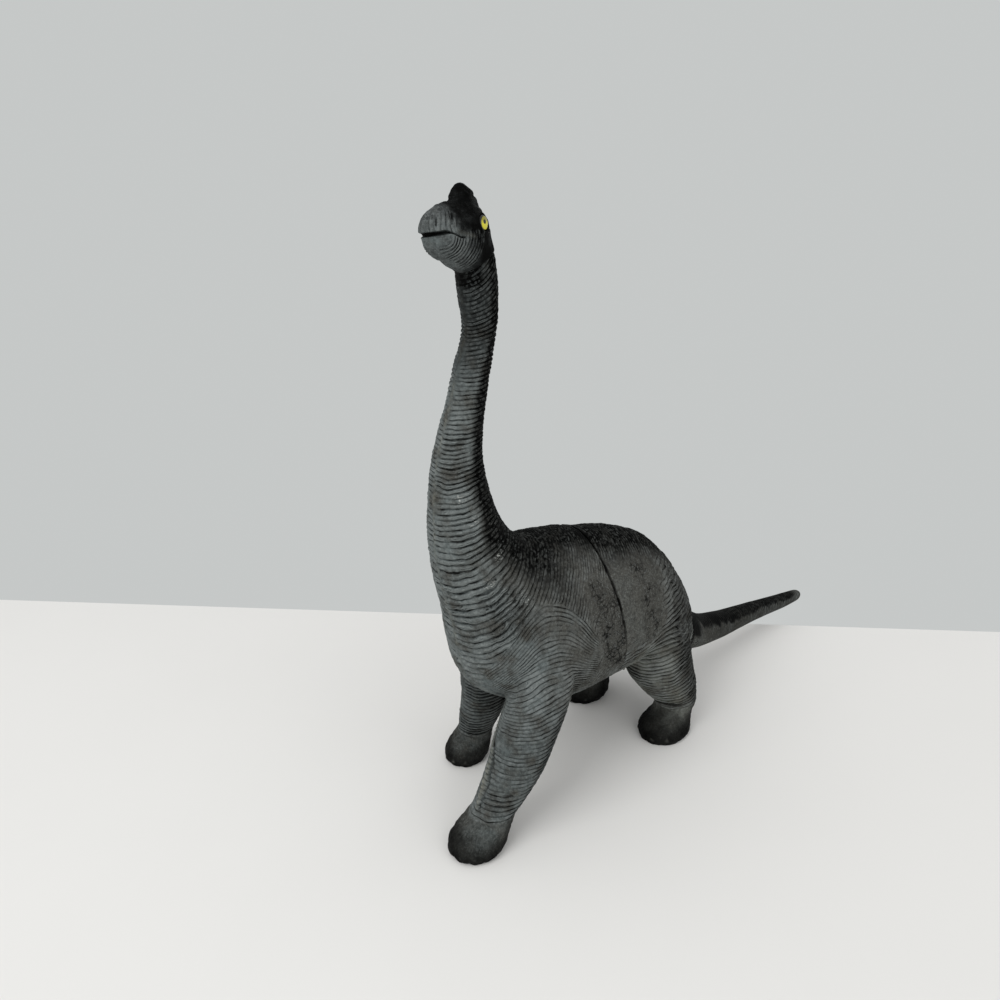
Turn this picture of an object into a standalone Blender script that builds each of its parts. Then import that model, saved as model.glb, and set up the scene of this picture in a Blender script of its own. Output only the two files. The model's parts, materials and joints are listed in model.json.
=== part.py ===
"""Long-necked toy dinosaur standing on four legs, built as it comes apart on a bench.

Two hollow soft-vinyl castings, front and rear, meet at a spigot round the waist and are packed
with fibre wadding. The head and the tail are solid castings, each on a mushroom plug that snaps
through a round hole in its flat seat and turns there. The eyes are domed beads pressed into
sockets. Metres, +Z up, the nose towards -Y and the figure's left side towards +X.
"""
import math

import bmesh
import bpy
from mathutils import Matrix, Vector

# Heights and lengths of the body
BELLY_HEIGHT = 0.030
TRUNK_DEPTH = 0.065
TRUNK_LENGTH = 0.110
TRUNK_WIDTH = 0.0444
NECK_HEIGHT = 0.0855
NECK_REACH = 0.0358
NECK_THICKNESS = 0.0119

# Skin of the two hollow castings and the fits between pieces
WALL = 0.0018
SOLE_THICKNESS = 0.0026
CLEARANCE = 0.0003
OVERRUN = 0.004

# Waist joint: a plane across the body, and the spigot of the rear casting
WAIST_PLACE = 0.0113
WAIST_LEVEL = 0.074
WAIST_LEAN = math.radians(-4)
SPIGOT_LENGTH = 0.004
SPIGOT_ROOT = 0.003

# Head: reach ahead of its swivel, height over its seat, and width. The seat leans forward, and
# the head is turned a little to the figure's left.
HEAD_LENGTH = 0.0183
HEAD_HEIGHT = 0.0154
HEAD_WIDTH = 0.0138
HEAD_SEAT_LEAN = math.radians(30)
HEAD_TURN = math.radians(15)
HEAD_RIM = 0.0004
HEAD_LID = 0.0012
HEAD_STEM_RADIUS = 0.0019
HEAD_FLANGE_RADIUS = 0.0029
HEAD_FLANGE_THICKNESS = 0.0011
CREST_RISE = 0.0040
CREST_LENGTH = 0.0092
CREST_WIDTH = 0.0064
CREST_LEAD = 0.0015
MOUTH_LENGTH = 0.0085
MOUTH_LEVEL = 0.0079
MOUTH_GAPE = 0.0008
MOUTH_DEPTH = 0.0010

# Eyes: beads pressed into sockets on each side of the head
EYE_RADIUS = 0.0020
EYE_DOME = 0.0008
EYE_DEPTH = 0.0014
EYE_LEAD = 0.0016
EYE_LEVEL = 0.0086
EYE_REACH = 0.0062
EYE_TURN = math.radians(10)

# Tail, on a seat that slopes so that the tail's tip lies on its swivel axis
TAIL_LENGTH = 0.0870
TAIL_DROP = 0.0195
TAIL_ROOT_RADIUS = 0.0086
TAIL_SEAT_PLACE = 0.066
TAIL_SEAT_HEIGHT = 0.0255
TAIL_LID = 0.0018
TAIL_STEM_RADIUS = 0.0040
TAIL_FLANGE_RADIUS = 0.0054
TAIL_FLANGE_THICKNESS = 0.0018

# Legs and feet: an ankle's and a hip's places are (left, back) of the body's middle
FORE_LEG_HEIGHT = 0.055
HIND_LEG_HEIGHT = 0.046
LEFT_FORE_ANKLE = (0.0151, -0.0415)
LEFT_FORE_HIP = (0.0165, -0.0180)
LEFT_FORE_LEAD = 0.0068
LEFT_FORE_RADIUS = 0.0102
RIGHT_FORE_ANKLE = (-0.0218, -0.0188)
RIGHT_FORE_HIP = (-0.0130, -0.0155)
RIGHT_FORE_LEAD = 0.0047
RIGHT_FORE_RADIUS = 0.0086
LEFT_HIND_ANKLE = (0.0177, 0.0456)
LEFT_HIND_HIP = (0.0131, 0.0392)
LEFT_HIND_LEAD = 0.0062
LEFT_HIND_RADIUS = 0.0114
RIGHT_HIND_ANKLE = (-0.0202, 0.0415)
RIGHT_HIND_HIP = (-0.0156, 0.0345)
RIGHT_HIND_LEAD = 0.0062
RIGHT_HIND_RADIUS = 0.0114
TOE_RADIUS = 0.0023
TOE_INSET = 0.0013
TOE_SPREAD = math.radians(34)

# Fibre wads: the level that parts the neck's wad from the chest's
NECK_WAD_LEVEL = 0.108

# How finely the forms are meshed
RING_SIDES = 40
CAVITY_SIDES = 20
TAIL_SIDES = 28
ROUND_SIDES = 24
EYE_SIDES = 20
BODY_GRAIN = 0.0009
HEAD_GRAIN = 0.00042
BODY_SMOOTHING = 6
HEAD_SMOOTHING = 3
BODY_DETAIL_SHARE = 0.043
HEAD_DETAIL_SHARE = 0.075
ON_PLANE = 0.0000001

# Neck from the seat down: height above the shoulder, reach, thickness and lean (shares)
NECK_SHARES = (
    (1.000, -0.721, 1.00, 1.00), (0.942, -0.703, 1.01, 0.77), (0.874, -0.692, 0.96, 0.50),
    (0.805, -0.688, 0.87, 0.30), (0.738, -0.722, 0.87, 0.20), (0.655, -0.792, 0.93, 0.13),
    (0.561, -0.860, 0.98, 0.13), (0.468, -0.932, 1.10, 0.17), (0.374, -0.985, 1.25, 0.20),
    (0.281, -1.001, 1.43, 0.27), (0.184, -0.993, 1.66, 0.43),
)

# Trunk: underside place and level, back place and level, half width (shares), belly fullness
TRUNK_SHARES = (
    (-0.413, 1.045, -0.207, 1.148, 0.252, 0.04), (-0.399, 0.862, -0.167, 1.048, 0.284, 0.07),
    (-0.376, 0.677, -0.115, 0.982, 0.338, 0.09), (-0.358, 0.492, -0.055, 0.962, 0.410, 0.11),
    (-0.329, 0.300, 0.009, 0.943, 0.458, 0.13), (-0.236, 0.154, 0.073, 0.915, 0.484, 0.14),
    (-0.127, 0.046, 0.141, 0.877, 0.496, 0.14), (-0.009, 0.008, 0.218, 0.840, 0.500, 0.14),
    (0.109, 0.000, 0.295, 0.788, 0.500, 0.12), (0.227, 0.000, 0.377, 0.711, 0.491, 0.12),
    (0.345, -0.031, 0.448, 0.594, 0.456, 0.10), (0.445, -0.085, 0.508, 0.431, 0.396, 0.06),
    (0.507, -0.135, 0.552, 0.265, 0.312, 0.02),
)

# Legs: level of the height, climb from ankle to hip, toe lead, half width, half length (shares)
FORE_LEG_SHARES = (
    (0.000, 0.00, 1.00, 0.76, 0.81), (0.020, 0.00, 1.00, 0.86, 0.92), (0.050, 0.00, 0.95, 0.91, 0.98),
    (0.095, 0.00, 0.71, 0.88, 0.95), (0.145, 0.00, 0.31, 0.80, 0.86), (0.200, 0.03, 0.00, 0.74, 0.76),
    (0.290, 0.22, 0.00, 0.80, 0.89), (0.400, 0.41, 0.00, 0.87, 1.00), (0.520, 0.55, 0.00, 0.93, 1.02),
    (0.640, 0.65, 0.00, 0.99, 1.12), (0.800, 0.84, 0.00, 0.90, 1.20), (0.900, 0.93, 0.00, 0.78, 1.14),
    (1.000, 1.00, 0.00, 0.60, 1.00), (1.130, 1.00, 0.00, 0.38, 0.74),
)
HIND_LEG_SHARES = (
    (0.000, 0.00, 1.00, 0.71, 0.80), (0.025, 0.00, 1.00, 0.79, 0.88), (0.055, 0.00, 0.98, 0.81, 0.90),
    (0.110, 0.00, 0.78, 0.75, 0.84), (0.175, 0.00, 0.28, 0.63, 0.69), (0.250, 0.02, 0.00, 0.65, 0.70),
    (0.350, 0.24, 0.00, 0.79, 0.86), (0.457, 0.50, 0.00, 0.90, 1.02), (0.610, 0.86, 0.00, 0.98, 1.18),
    (0.780, 1.00, 0.00, 0.96, 1.20), (0.950, 1.00, 0.00, 0.82, 1.12), (1.090, 1.00, 0.00, 0.62, 0.92),
    (1.230, 1.00, 0.00, 0.40, 0.62),
)

# Wads in the legs reach up to these shares of the belly's height
FORE_WAD_SHARE = 1.32
HIND_WAD_SHARE = 1.10

# Toes of a foot, in steps of TOE_SPREAD from straight ahead, and how high their middles lie
TOE_STEPS = (-1.5, -0.5, 0.5, 1.5)
TOE_LEVEL_SHARE = 0.75

# Tail from its seat: run, sag below a straight line, radius, slope of the ring (shares)
TAIL_SHARES = (
    (0.000, 0.000, 1.00, 1.0), (0.069, 0.110, 0.91, 1.6), (0.161, 0.210, 0.775, 1.7),
    (0.333, 0.210, 0.640, 1.0), (0.494, 0.155, 0.53, 0.7), (0.644, 0.110, 0.45, 0.7),
    (0.828, 0.070, 0.375, 0.8), (0.950, 0.025, 0.30, 0.7), (0.985, 0.008, 0.22, 0.6),
    (1.000, 0.000, 0.11, 0.6),
)

# Head, from its seat round to the nose: throat ahead and up, crown ahead and up, half width (shares)
HEAD_SHARES = (
    (0.36, -0.155, -0.27, 0.39, 0.450), (0.45, -0.110, -0.24, 0.60, 0.478), (0.54, -0.045, -0.16, 0.80, 0.497),
    (0.62, 0.035, 0.00, 0.95, 0.486), (0.71, 0.065, 0.235, 1.00, 0.445), (0.80, 0.100, 0.51, 0.974, 0.400),
    (0.86, 0.160, 0.75, 0.900, 0.325), (0.90, 0.255, 0.895, 0.800, 0.235), (0.94, 0.400, 0.96, 0.660, 0.110),
)

# Crest from inside the skull up: height and radius (shares)
CREST_SHARES = ((-0.80, 1.15), (-0.10, 1.00), (0.25, 0.88), (0.52, 0.70), (0.77, 0.46), (0.94, 0.22), (1.00, 0.07))

# A mushroom plug's leading edge, as a share of its flange's radius
PLUG_NOSE_SHARE = 0.72


def linear(rgb):
    """A colour as seen on screen, as the linear values that a material takes."""
    return tuple(((c + 0.055) / 1.055) ** 2.4 if c > 0.04045 else c / 12.92 for c in rgb) + (1.0,)


def material(name, rgb, roughness, metallic=0.0):
    """A plain Principled material."""
    made = bpy.data.materials.new(name)
    made.use_nodes = True
    shader = made.node_tree.nodes["Principled BSDF"]
    shader.inputs["Base Color"].default_value = linear(rgb)
    shader.inputs["Roughness"].default_value = roughness
    shader.inputs["Metallic"].default_value = metallic
    made.diffuse_color = linear(rgb)
    return made


def finish(bm, name):
    """Turn a bmesh into a smooth-shaded mesh with its faces pointing out."""
    bmesh.ops.recalc_face_normals(bm, faces=bm.faces)
    mesh = bpy.data.meshes.new(name)
    bm.to_mesh(mesh)
    bm.free()
    mesh.shade_smooth()
    mesh.set_sharp_from_angle(angle=math.radians(50))
    return mesh


def add_loft(bm, rings):
    """Skin a run of rings that have alike numbers of points, and close both ends."""
    loops = [[bm.verts.new(point) for point in ring] for ring in rings]
    for lower, upper in zip(loops, loops[1:]):
        for side, corner in enumerate(lower):
            after = (side + 1) % len(lower)
            bm.faces.new((corner, lower[after], upper[after], upper[side]))
    bm.faces.new(loops[0][::-1])
    bm.faces.new(loops[-1])


def cut_away(bm, planes):
    """Remove what lies beyond each plane, given as a point and an outward normal, and close the cut."""
    for point, normal in planes:
        everything = bm.verts[:] + bm.edges[:] + bm.faces[:]
        cut = bmesh.ops.bisect_plane(bm, geom=everything, dist=ON_PLANE, plane_co=point,
                                     plane_no=normal, clear_outer=True)
        rim = [item for item in cut["geom_cut"] if isinstance(item, bmesh.types.BMEdge)]
        bmesh.ops.edgeloop_fill(bm, edges=rim)


def loft_mesh(name, rings, planes=()):
    """One closed loft as a mesh, cut off at the given planes."""
    bm = bmesh.new()
    add_loft(bm, rings)
    cut_away(bm, planes)
    return finish(bm, name)


def cut_mesh(mesh, name, planes):
    """A copy of a mesh, cut off at the given planes."""
    bm = bmesh.new()
    bm.from_mesh(mesh)
    cut_away(bm, planes)
    return finish(bm, name)


def turned_mesh(name, profile, sides, matrix=Matrix()):
    """A closed solid turned about its own Z from (radius, height) points, then placed by a matrix."""
    rings = [[matrix @ Vector((radius * math.cos(2 * math.pi * side / sides),
                               radius * math.sin(2 * math.pi * side / sides), height))
              for side in range(sides)] for radius, height in profile]
    return loft_mesh(name, rings)


def evaluated(mesh, modifiers):
    """A mesh as a stack of modifiers leaves it. Each is (kind, settings)."""
    carrier = bpy.data.objects.new("carrier", mesh)
    bpy.context.scene.collection.objects.link(carrier)
    for kind, settings in modifiers:
        modifier = carrier.modifiers.new(kind, kind)
        for setting, value in settings.items():
            setattr(modifier, setting, value)
    depsgraph = bpy.context.evaluated_depsgraph_get()
    result = bpy.data.meshes.new_from_object(carrier.evaluated_get(depsgraph))
    bpy.data.objects.remove(carrier)
    return result


def combined(mesh, others, operation):
    """Join other meshes to a mesh (UNION) or cut them out of it (DIFFERENCE), one after another."""
    for other in others:
        helper = bpy.data.objects.new("helper", other)
        bpy.context.scene.collection.objects.link(helper)
        mesh = evaluated(mesh, [("BOOLEAN", {"operation": operation, "object": helper})])
        bpy.data.objects.remove(helper)
    return mesh


def blended(bm, name, grain, smoothing, detail):
    """Fuse overlapping closed forms into one soft skin, then thin its mesh to the given share."""
    return evaluated(finish(bm, name), [
        ("REMESH", {"mode": "VOXEL", "voxel_size": grain}),
        ("SMOOTH", {"factor": 0.5, "iterations": smoothing}),
        ("DECIMATE", {"ratio": detail}),
    ])


def shaded(mesh):
    """Shade a finished mesh smooth, with its sharp edges kept."""
    mesh.shade_smooth()
    mesh.set_sharp_from_angle(angle=math.radians(50))
    return mesh


def smooth_rows(rows, steps):
    """More rows on a smooth curve through the given ones."""
    fine = []
    last = len(rows) - 1
    for index in range(last):
        before, here = rows[max(index - 1, 0)], rows[index]
        after, beyond = rows[index + 1], rows[min(index + 2, last)]
        for step in range(steps):
            t = step / steps
            fine.append(tuple(
                0.5 * (2 * b + (c - a) * t + (2 * a - 5 * b + 4 * c - d) * t * t
                       + (3 * b - a - 3 * c + d) * t ** 3)
                for a, b, c, d in zip(before, here, after, beyond)))
    return fine + [tuple(rows[last])]


def cross_ring(front, back, half_width, fullness, inset, sides):
    """A ring across the body, from its front or under point to its back or top point."""
    middle = (front + back) / 2
    reach = (back - front) / 2
    reach = reach * (1 - inset / reach.length)
    width = half_width - inset
    ring = []
    for side in range(sides):
        angle = 2 * math.pi * side / sides
        centre = middle + reach * math.cos(angle)
        ring.append(Vector((width * math.sin(angle) * (1 - fullness * math.cos(angle)), centre.x, centre.y)))
    return ring


def rings_of(rows, inset, steps, sides):
    """Rings on a smooth curve through rows of front point, back point, half width and fullness."""
    return [cross_ring(Vector(row[0:2]), Vector(row[2:4]), row[4], row[5], inset, sides)
            for row in smooth_rows(rows, steps)]


def slanted_row(middle, radius, slope):
    """The row of a round ring in the plane through its middle that slopes up to the back."""
    along = Vector((math.cos(slope), math.sin(slope))) * radius
    return tuple(middle - along) + tuple(middle + along) + (radius, 0.0)


def moved_row(row, shift):
    """A row moved back and up by a shift in the body's mid-plane."""
    return (row[0] + shift.x, row[1] + shift.y, row[2] + shift.x, row[3] + shift.y) + tuple(row[4:])


# The seats of the head and the tail: a middle on the swivel axis, and the axis pointing outwards
SHOULDER_LEVEL = BELLY_HEIGHT + TRUNK_DEPTH
HEAD_SEAT = Vector((0, NECK_REACH * NECK_SHARES[0][1], SHOULDER_LEVEL + NECK_HEIGHT))
HEAD_AXIS = Vector((0, -math.sin(HEAD_SEAT_LEAN), math.cos(HEAD_SEAT_LEAN)))
TAIL_SEAT_SLOPE = math.atan2(TAIL_DROP, TAIL_LENGTH)
TAIL_SEAT = Vector((0, TAIL_SEAT_PLACE, TAIL_SEAT_HEIGHT))
TAIL_AXIS = Vector((0, math.cos(TAIL_SEAT_SLOPE), -math.sin(TAIL_SEAT_SLOPE)))

# The waist joint's plane: a point on it and its normal, which points back
WAIST = Vector((0, WAIST_PLACE, WAIST_LEVEL))
WAIST_AXIS = Vector((0, math.cos(WAIST_LEAN), -math.sin(WAIST_LEAN)))

DOWN = Vector((0, 0, -1))
UP = Vector((0, 0, 1))


def neck_row(row):
    """Front point, back point and half width of a neck ring, from its row of shares."""
    height, reach, thickness, lean = row
    middle = Vector((NECK_REACH * reach, SHOULDER_LEVEL + NECK_HEIGHT * height))
    return slanted_row(middle, NECK_THICKNESS * thickness / 2, HEAD_SEAT_LEAN * lean)


def trunk_row(row):
    """Underside point, back point, half width and fullness of a trunk ring, from its shares."""
    under_y, under_z, back_y, back_z, half_width, fullness = row
    return (TRUNK_LENGTH * under_y, BELLY_HEIGHT + TRUNK_DEPTH * under_z,
            TRUNK_LENGTH * back_y, BELLY_HEIGHT + TRUNK_DEPTH * back_z,
            TRUNK_WIDTH * half_width, fullness)


def body_rings(inset, steps, sides):
    """Rings of the body, from just past the head's seat down the neck and back past the tail's."""
    neck = [neck_row(row) for row in NECK_SHARES]
    trunk = [trunk_row(row) for row in TRUNK_SHARES]
    rump = slanted_row(TAIL_SEAT.yz, TAIL_ROOT_RADIUS, math.pi / 2 - TAIL_SEAT_SLOPE)
    past_head = moved_row(neck[0], HEAD_AXIS.yz * OVERRUN)
    past_tail = moved_row(rump, TAIL_AXIS.yz * OVERRUN)
    return rings_of([past_head] + neck + trunk + [rump, past_tail], inset, steps, sides)


LEGS = {
    "left_foreleg": (LEFT_FORE_ANKLE, LEFT_FORE_HIP, LEFT_FORE_LEAD, LEFT_FORE_RADIUS,
                     FORE_LEG_HEIGHT, FORE_LEG_SHARES),
    "right_foreleg": (RIGHT_FORE_ANKLE, RIGHT_FORE_HIP, RIGHT_FORE_LEAD, RIGHT_FORE_RADIUS,
                      FORE_LEG_HEIGHT, FORE_LEG_SHARES),
    "left_hind_leg": (LEFT_HIND_ANKLE, LEFT_HIND_HIP, LEFT_HIND_LEAD, LEFT_HIND_RADIUS,
                      HIND_LEG_HEIGHT, HIND_LEG_SHARES),
    "right_hind_leg": (RIGHT_HIND_ANKLE, RIGHT_HIND_HIP, RIGHT_HIND_LEAD, RIGHT_HIND_RADIUS,
                       HIND_LEG_HEIGHT, HIND_LEG_SHARES),
}


def leg_rings(leg, inset, steps, sides):
    """Level rings of a leg, from just below its sole up into the trunk."""
    ankle, hip, lead, radius, height, shares = LEGS[leg]
    rows = smooth_rows(shares, steps)
    rings = []
    for drop, (level, climb, toe, width, length) in [(OVERRUN, rows[0])] + [(0, row) for row in rows]:
        x = ankle[0] + (hip[0] - ankle[0]) * climb
        y = ankle[1] + (hip[1] - ankle[1]) * climb - lead * toe
        rings.append([Vector((x + (radius * width - inset) * math.cos(2 * math.pi * side / sides),
                              y + (radius * length - inset) * math.sin(2 * math.pi * side / sides),
                              level * height - drop)) for side in range(sides)])
    return rings


def add_toes(bm, leg):
    """Round toe tips along the front of a foot."""
    ankle, hip, lead, radius, height, shares = LEGS[leg]
    for step in TOE_STEPS:
        turn = TOE_SPREAD * step
        place = Vector((ankle[0] + (radius * shares[1][3] - TOE_INSET) * math.sin(turn),
                        ankle[1] - lead - (radius * shares[1][4] - TOE_INSET) * math.cos(turn),
                        TOE_RADIUS * TOE_LEVEL_SHARE))
        bmesh.ops.create_uvsphere(bm, u_segments=16, v_segments=10, radius=TOE_RADIUS,
                                  matrix=Matrix.Translation(place))


def body_skin():
    """The outer skin of the neck, trunk and legs, before it is parted and cut at its seats."""
    bm = bmesh.new()
    add_loft(bm, body_rings(0, 3, RING_SIDES))
    for leg in LEGS:
        add_loft(bm, leg_rings(leg, 0, 2, RING_SIDES))
        add_toes(bm, leg)
    return blended(bm, "body_skin", BODY_GRAIN, BODY_SMOOTHING, BODY_DETAIL_SHARE)


def trunk_core(name, inset, planes):
    """The body's form drawn in by an inset, between planes."""
    return loft_mesh(name, body_rings(inset, 1, CAVITY_SIDES), planes)


def leg_core(leg, inset, planes):
    """A leg's form drawn in by an inset, between planes."""
    return loft_mesh(leg, leg_rings(leg, inset, 1, CAVITY_SIDES), planes)


def seat_hole(seat, axis, lid, radius):
    """The round hole through the lid of a seat, where a plug snaps in."""
    matrix = Matrix.Translation(seat) @ UP.rotation_difference(axis).to_matrix().to_4x4()
    return turned_mesh("seat_hole", [(radius, -2 * lid), (radius, 2 * lid)], ROUND_SIDES, matrix)


def front_casting(skin):
    """Hollow casting of the neck, chest and forelegs, open at the waist."""
    above_seat = (HEAD_SEAT, HEAD_AXIS)
    behind_waist = (WAIST, WAIST_AXIS)
    outer = cut_mesh(skin, "front_body", [above_seat, behind_waist, (Vector(), DOWN)])
    hollow = trunk_core("hollow", WALL, [(HEAD_SEAT - HEAD_AXIS * HEAD_LID, HEAD_AXIS),
                                         (WAIST + WAIST_AXIS * OVERRUN, WAIST_AXIS)])
    inside_foot = (UP * SOLE_THICKNESS, DOWN)
    legs = [leg_core(leg, WALL, [inside_foot]) for leg in ("left_foreleg", "right_foreleg")]
    hole = seat_hole(HEAD_SEAT, HEAD_AXIS, HEAD_LID, HEAD_STEM_RADIUS + CLEARANCE)
    return combined(outer, [hollow] + legs + [hole], "DIFFERENCE")


def rear_casting(skin):
    """Hollow casting of the rump and hind legs, with a spigot that fits in the front casting."""
    start = WAIST + WAIST_AXIS * CLEARANCE
    outer = cut_mesh(skin, "rear_body", [(TAIL_SEAT, TAIL_AXIS), (start, -WAIST_AXIS), (Vector(), DOWN)])
    spigot_end = WAIST - WAIST_AXIS * SPIGOT_LENGTH
    root = WAIST + WAIST_AXIS * SPIGOT_ROOT
    spigot = trunk_core("spigot", WALL + CLEARANCE, [(spigot_end, -WAIST_AXIS), (root, WAIST_AXIS)])
    bore = trunk_core("bore", 2 * WALL + CLEARANCE, [(spigot_end - WAIST_AXIS * OVERRUN, -WAIST_AXIS),
                                                     (root + WAIST_AXIS * OVERRUN, WAIST_AXIS)])
    hollow = trunk_core("hollow", WALL, [(root, -WAIST_AXIS),
                                         (TAIL_SEAT - TAIL_AXIS * TAIL_LID, TAIL_AXIS)])
    inside_foot = (UP * SOLE_THICKNESS, DOWN)
    legs = [leg_core(leg, WALL, [inside_foot]) for leg in ("left_hind_leg", "right_hind_leg")]
    hole = seat_hole(TAIL_SEAT, TAIL_AXIS, TAIL_LID, TAIL_STEM_RADIUS + CLEARANCE)
    outer = combined(outer, [spigot], "UNION")
    return combined(outer, [bore, hollow] + legs + [hole], "DIFFERENCE")


def plug(lid, stem_radius, flange_radius, flange_thickness, axis):
    """Mushroom plug on a seat at the origin: a stem through the lid and a flange behind it."""
    lid_back = -lid - CLEARANCE
    flange_back = lid_back - flange_thickness
    profile = [(flange_radius * PLUG_NOSE_SHARE, flange_back), (flange_radius, flange_back + flange_thickness / 2),
               (flange_radius, lid_back), (stem_radius, lid_back), (stem_radius, OVERRUN)]
    matrix = UP.rotation_difference(axis).to_matrix().to_4x4()
    return turned_mesh("plug", profile, ROUND_SIDES, matrix)


def head_row(row):
    """Throat point, crown point and half width of a head ring, from its row of shares."""
    throat_ahead, throat_up, crown_ahead, crown_up, half_width = row
    return (-HEAD_LENGTH * throat_ahead, HEAD_HEIGHT * throat_up,
            -HEAD_LENGTH * crown_ahead, HEAD_HEIGHT * crown_up, HEAD_WIDTH * half_width, 0.0)


def head_rings(inset, steps):
    """Rings of the head, from below its seat round to the nose, with the swivel's middle at the origin."""
    rim = slanted_row(Vector((0, 0)), NECK_THICKNESS / 2 + HEAD_RIM, HEAD_SEAT_LEAN)
    below = moved_row(rim, HEAD_AXIS.yz * -OVERRUN)
    return rings_of([below, rim] + [head_row(row) for row in HEAD_SHARES], inset, steps, RING_SIDES)


def eye_matrix(side):
    """Place of an eye on the head: its Z points out to the given side and a little back."""
    place = Vector((side * EYE_REACH, -EYE_LEAD, EYE_LEVEL))
    outwards = Vector((side * math.cos(EYE_TURN), math.sin(EYE_TURN), 0))
    return Matrix.Translation(place) @ UP.rotation_difference(outwards).to_matrix().to_4x4()


def mouth_groove():
    """The line of the shut mouth: a thin slab round the snout, less the head's own core."""
    corner = HEAD_LENGTH - MOUTH_LENGTH
    half_width = HEAD_WIDTH / 2 + OVERRUN
    bm = bmesh.new()
    bmesh.ops.create_cube(bm, size=1.0)
    bmesh.ops.scale(bm, verts=bm.verts, vec=(2 * half_width, MOUTH_LENGTH + OVERRUN, MOUTH_GAPE))
    middle = Vector((0, -corner - (MOUTH_LENGTH + OVERRUN) / 2, MOUTH_LEVEL))
    bmesh.ops.translate(bm, verts=bm.verts, vec=middle)
    core = loft_mesh("core", head_rings(MOUTH_DEPTH, 2))
    return combined(finish(bm, "mouth"), [core], "DIFFERENCE")


def head_casting():
    """Solid casting of the head with its crest, mouth line, eye sockets and plug."""
    bm = bmesh.new()
    add_loft(bm, head_rings(0, 3))
    add_loft(bm, [[Vector((CREST_WIDTH / 2 * spread * math.cos(2 * math.pi * side / ROUND_SIDES),
                           CREST_LENGTH / 2 * spread * math.sin(2 * math.pi * side / ROUND_SIDES) - CREST_LEAD,
                           HEAD_HEIGHT + CREST_RISE * rise)) for side in range(ROUND_SIDES)]
                  for rise, spread in CREST_SHARES])
    form = blended(bm, "head_skin", HEAD_GRAIN, HEAD_SMOOTHING, HEAD_DETAIL_SHARE)
    form = cut_mesh(form, "head", [(HEAD_AXIS * CLEARANCE, -HEAD_AXIS)])
    stem = plug(HEAD_LID, HEAD_STEM_RADIUS, HEAD_FLANGE_RADIUS, HEAD_FLANGE_THICKNESS, HEAD_AXIS)
    form = combined(form, [stem], "UNION")
    socket = [(EYE_RADIUS + CLEARANCE, -EYE_DEPTH - CLEARANCE), (EYE_RADIUS + CLEARANCE, OVERRUN)]
    sockets = [turned_mesh("socket", socket, EYE_SIDES, eye_matrix(side)) for side in (1, -1)]
    return combined(form, sockets + [mouth_groove()], "DIFFERENCE")


def eye_bead(side):
    """Domed bead with a straight skirt that fills its socket."""
    profile = [(EYE_RADIUS, -EYE_DEPTH)]
    for step in range(6):
        angle = math.pi / 2 * step / 6
        profile.append((EYE_RADIUS * math.cos(angle), EYE_DOME * math.sin(angle)))
    return turned_mesh("eye", profile, EYE_SIDES, eye_matrix(side))


def tail_casting():
    """Solid casting of the tail with its plug, and its seat's middle at the origin."""
    rows = []
    for run, sag, radius, slope in TAIL_SHARES:
        middle = Vector((TAIL_LENGTH * run, -TAIL_DROP * (run + sag)))
        rows.append(slanted_row(middle, TAIL_ROOT_RADIUS * radius, math.pi / 2 - TAIL_SEAT_SLOPE * slope))
    rows = [moved_row(rows[0], TAIL_AXIS.yz * -OVERRUN)] + rows
    form = loft_mesh("tail", rings_of(rows, 0, 2, TAIL_SIDES), [(TAIL_AXIS * CLEARANCE, -TAIL_AXIS)])
    stem = plug(TAIL_LID, TAIL_STEM_RADIUS, TAIL_FLANGE_RADIUS, TAIL_FLANGE_THICKNESS, TAIL_AXIS)
    return combined(form, [stem], "UNION")


def wads():
    """Fibre wads that fill the two hollow castings, by name, each clear of the next."""
    inset = WALL + CLEARANCE
    under_head = HEAD_LID + HEAD_FLANGE_THICKNESS + 2 * CLEARANCE
    before_tail = TAIL_LID + TAIL_FLANGE_THICKNESS + 2 * CLEARANCE
    parting = UP * NECK_WAD_LEVEL
    chest_end = WAIST - WAIST_AXIS * (SPIGOT_LENGTH + CLEARANCE)
    rump_start = WAIST + WAIST_AXIS * (SPIGOT_ROOT + CLEARANCE)
    made = {
        "neck_filling": trunk_core("neck_filling", inset, [
            (HEAD_SEAT - HEAD_AXIS * under_head, HEAD_AXIS), (parting + UP * CLEARANCE, DOWN)]),
        "chest_filling": trunk_core("chest_filling", inset, [(parting, UP), (chest_end, WAIST_AXIS)]),
        "rump_filling": trunk_core("rump_filling", inset, [
            (rump_start, -WAIST_AXIS), (TAIL_SEAT - TAIL_AXIS * before_tail, TAIL_AXIS)]),
    }
    trunk = trunk_core("trunk", WALL, [])
    for leg, (ankle, hip, lead, radius, height, shares) in LEGS.items():
        top = BELLY_HEIGHT * (HIND_WAD_SHARE if shares is HIND_LEG_SHARES else FORE_WAD_SHARE)
        ends = [(UP * (SOLE_THICKNESS + CLEARANCE), DOWN), (UP * top, UP)]
        name = leg + "_filling"
        made[name] = combined(leg_core(leg, inset, ends), [trunk], "DIFFERENCE")
    return made


def add_piece(name, mesh, finish_material, parent):
    """A finished piece under its name, carried by an empty."""
    mesh.name = name
    mesh.materials.clear()
    mesh.materials.append(finish_material)
    piece = bpy.data.objects.new(name, shaded(mesh))
    bpy.context.scene.collection.objects.link(piece)
    piece.parent = parent
    return piece


def add_carrier(name, place, parent=None):
    """An empty that carries the pieces which move together."""
    carrier = bpy.data.objects.new(name, None)
    bpy.context.scene.collection.objects.link(carrier)
    carrier.location = place
    carrier.parent = parent
    return carrier


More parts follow.
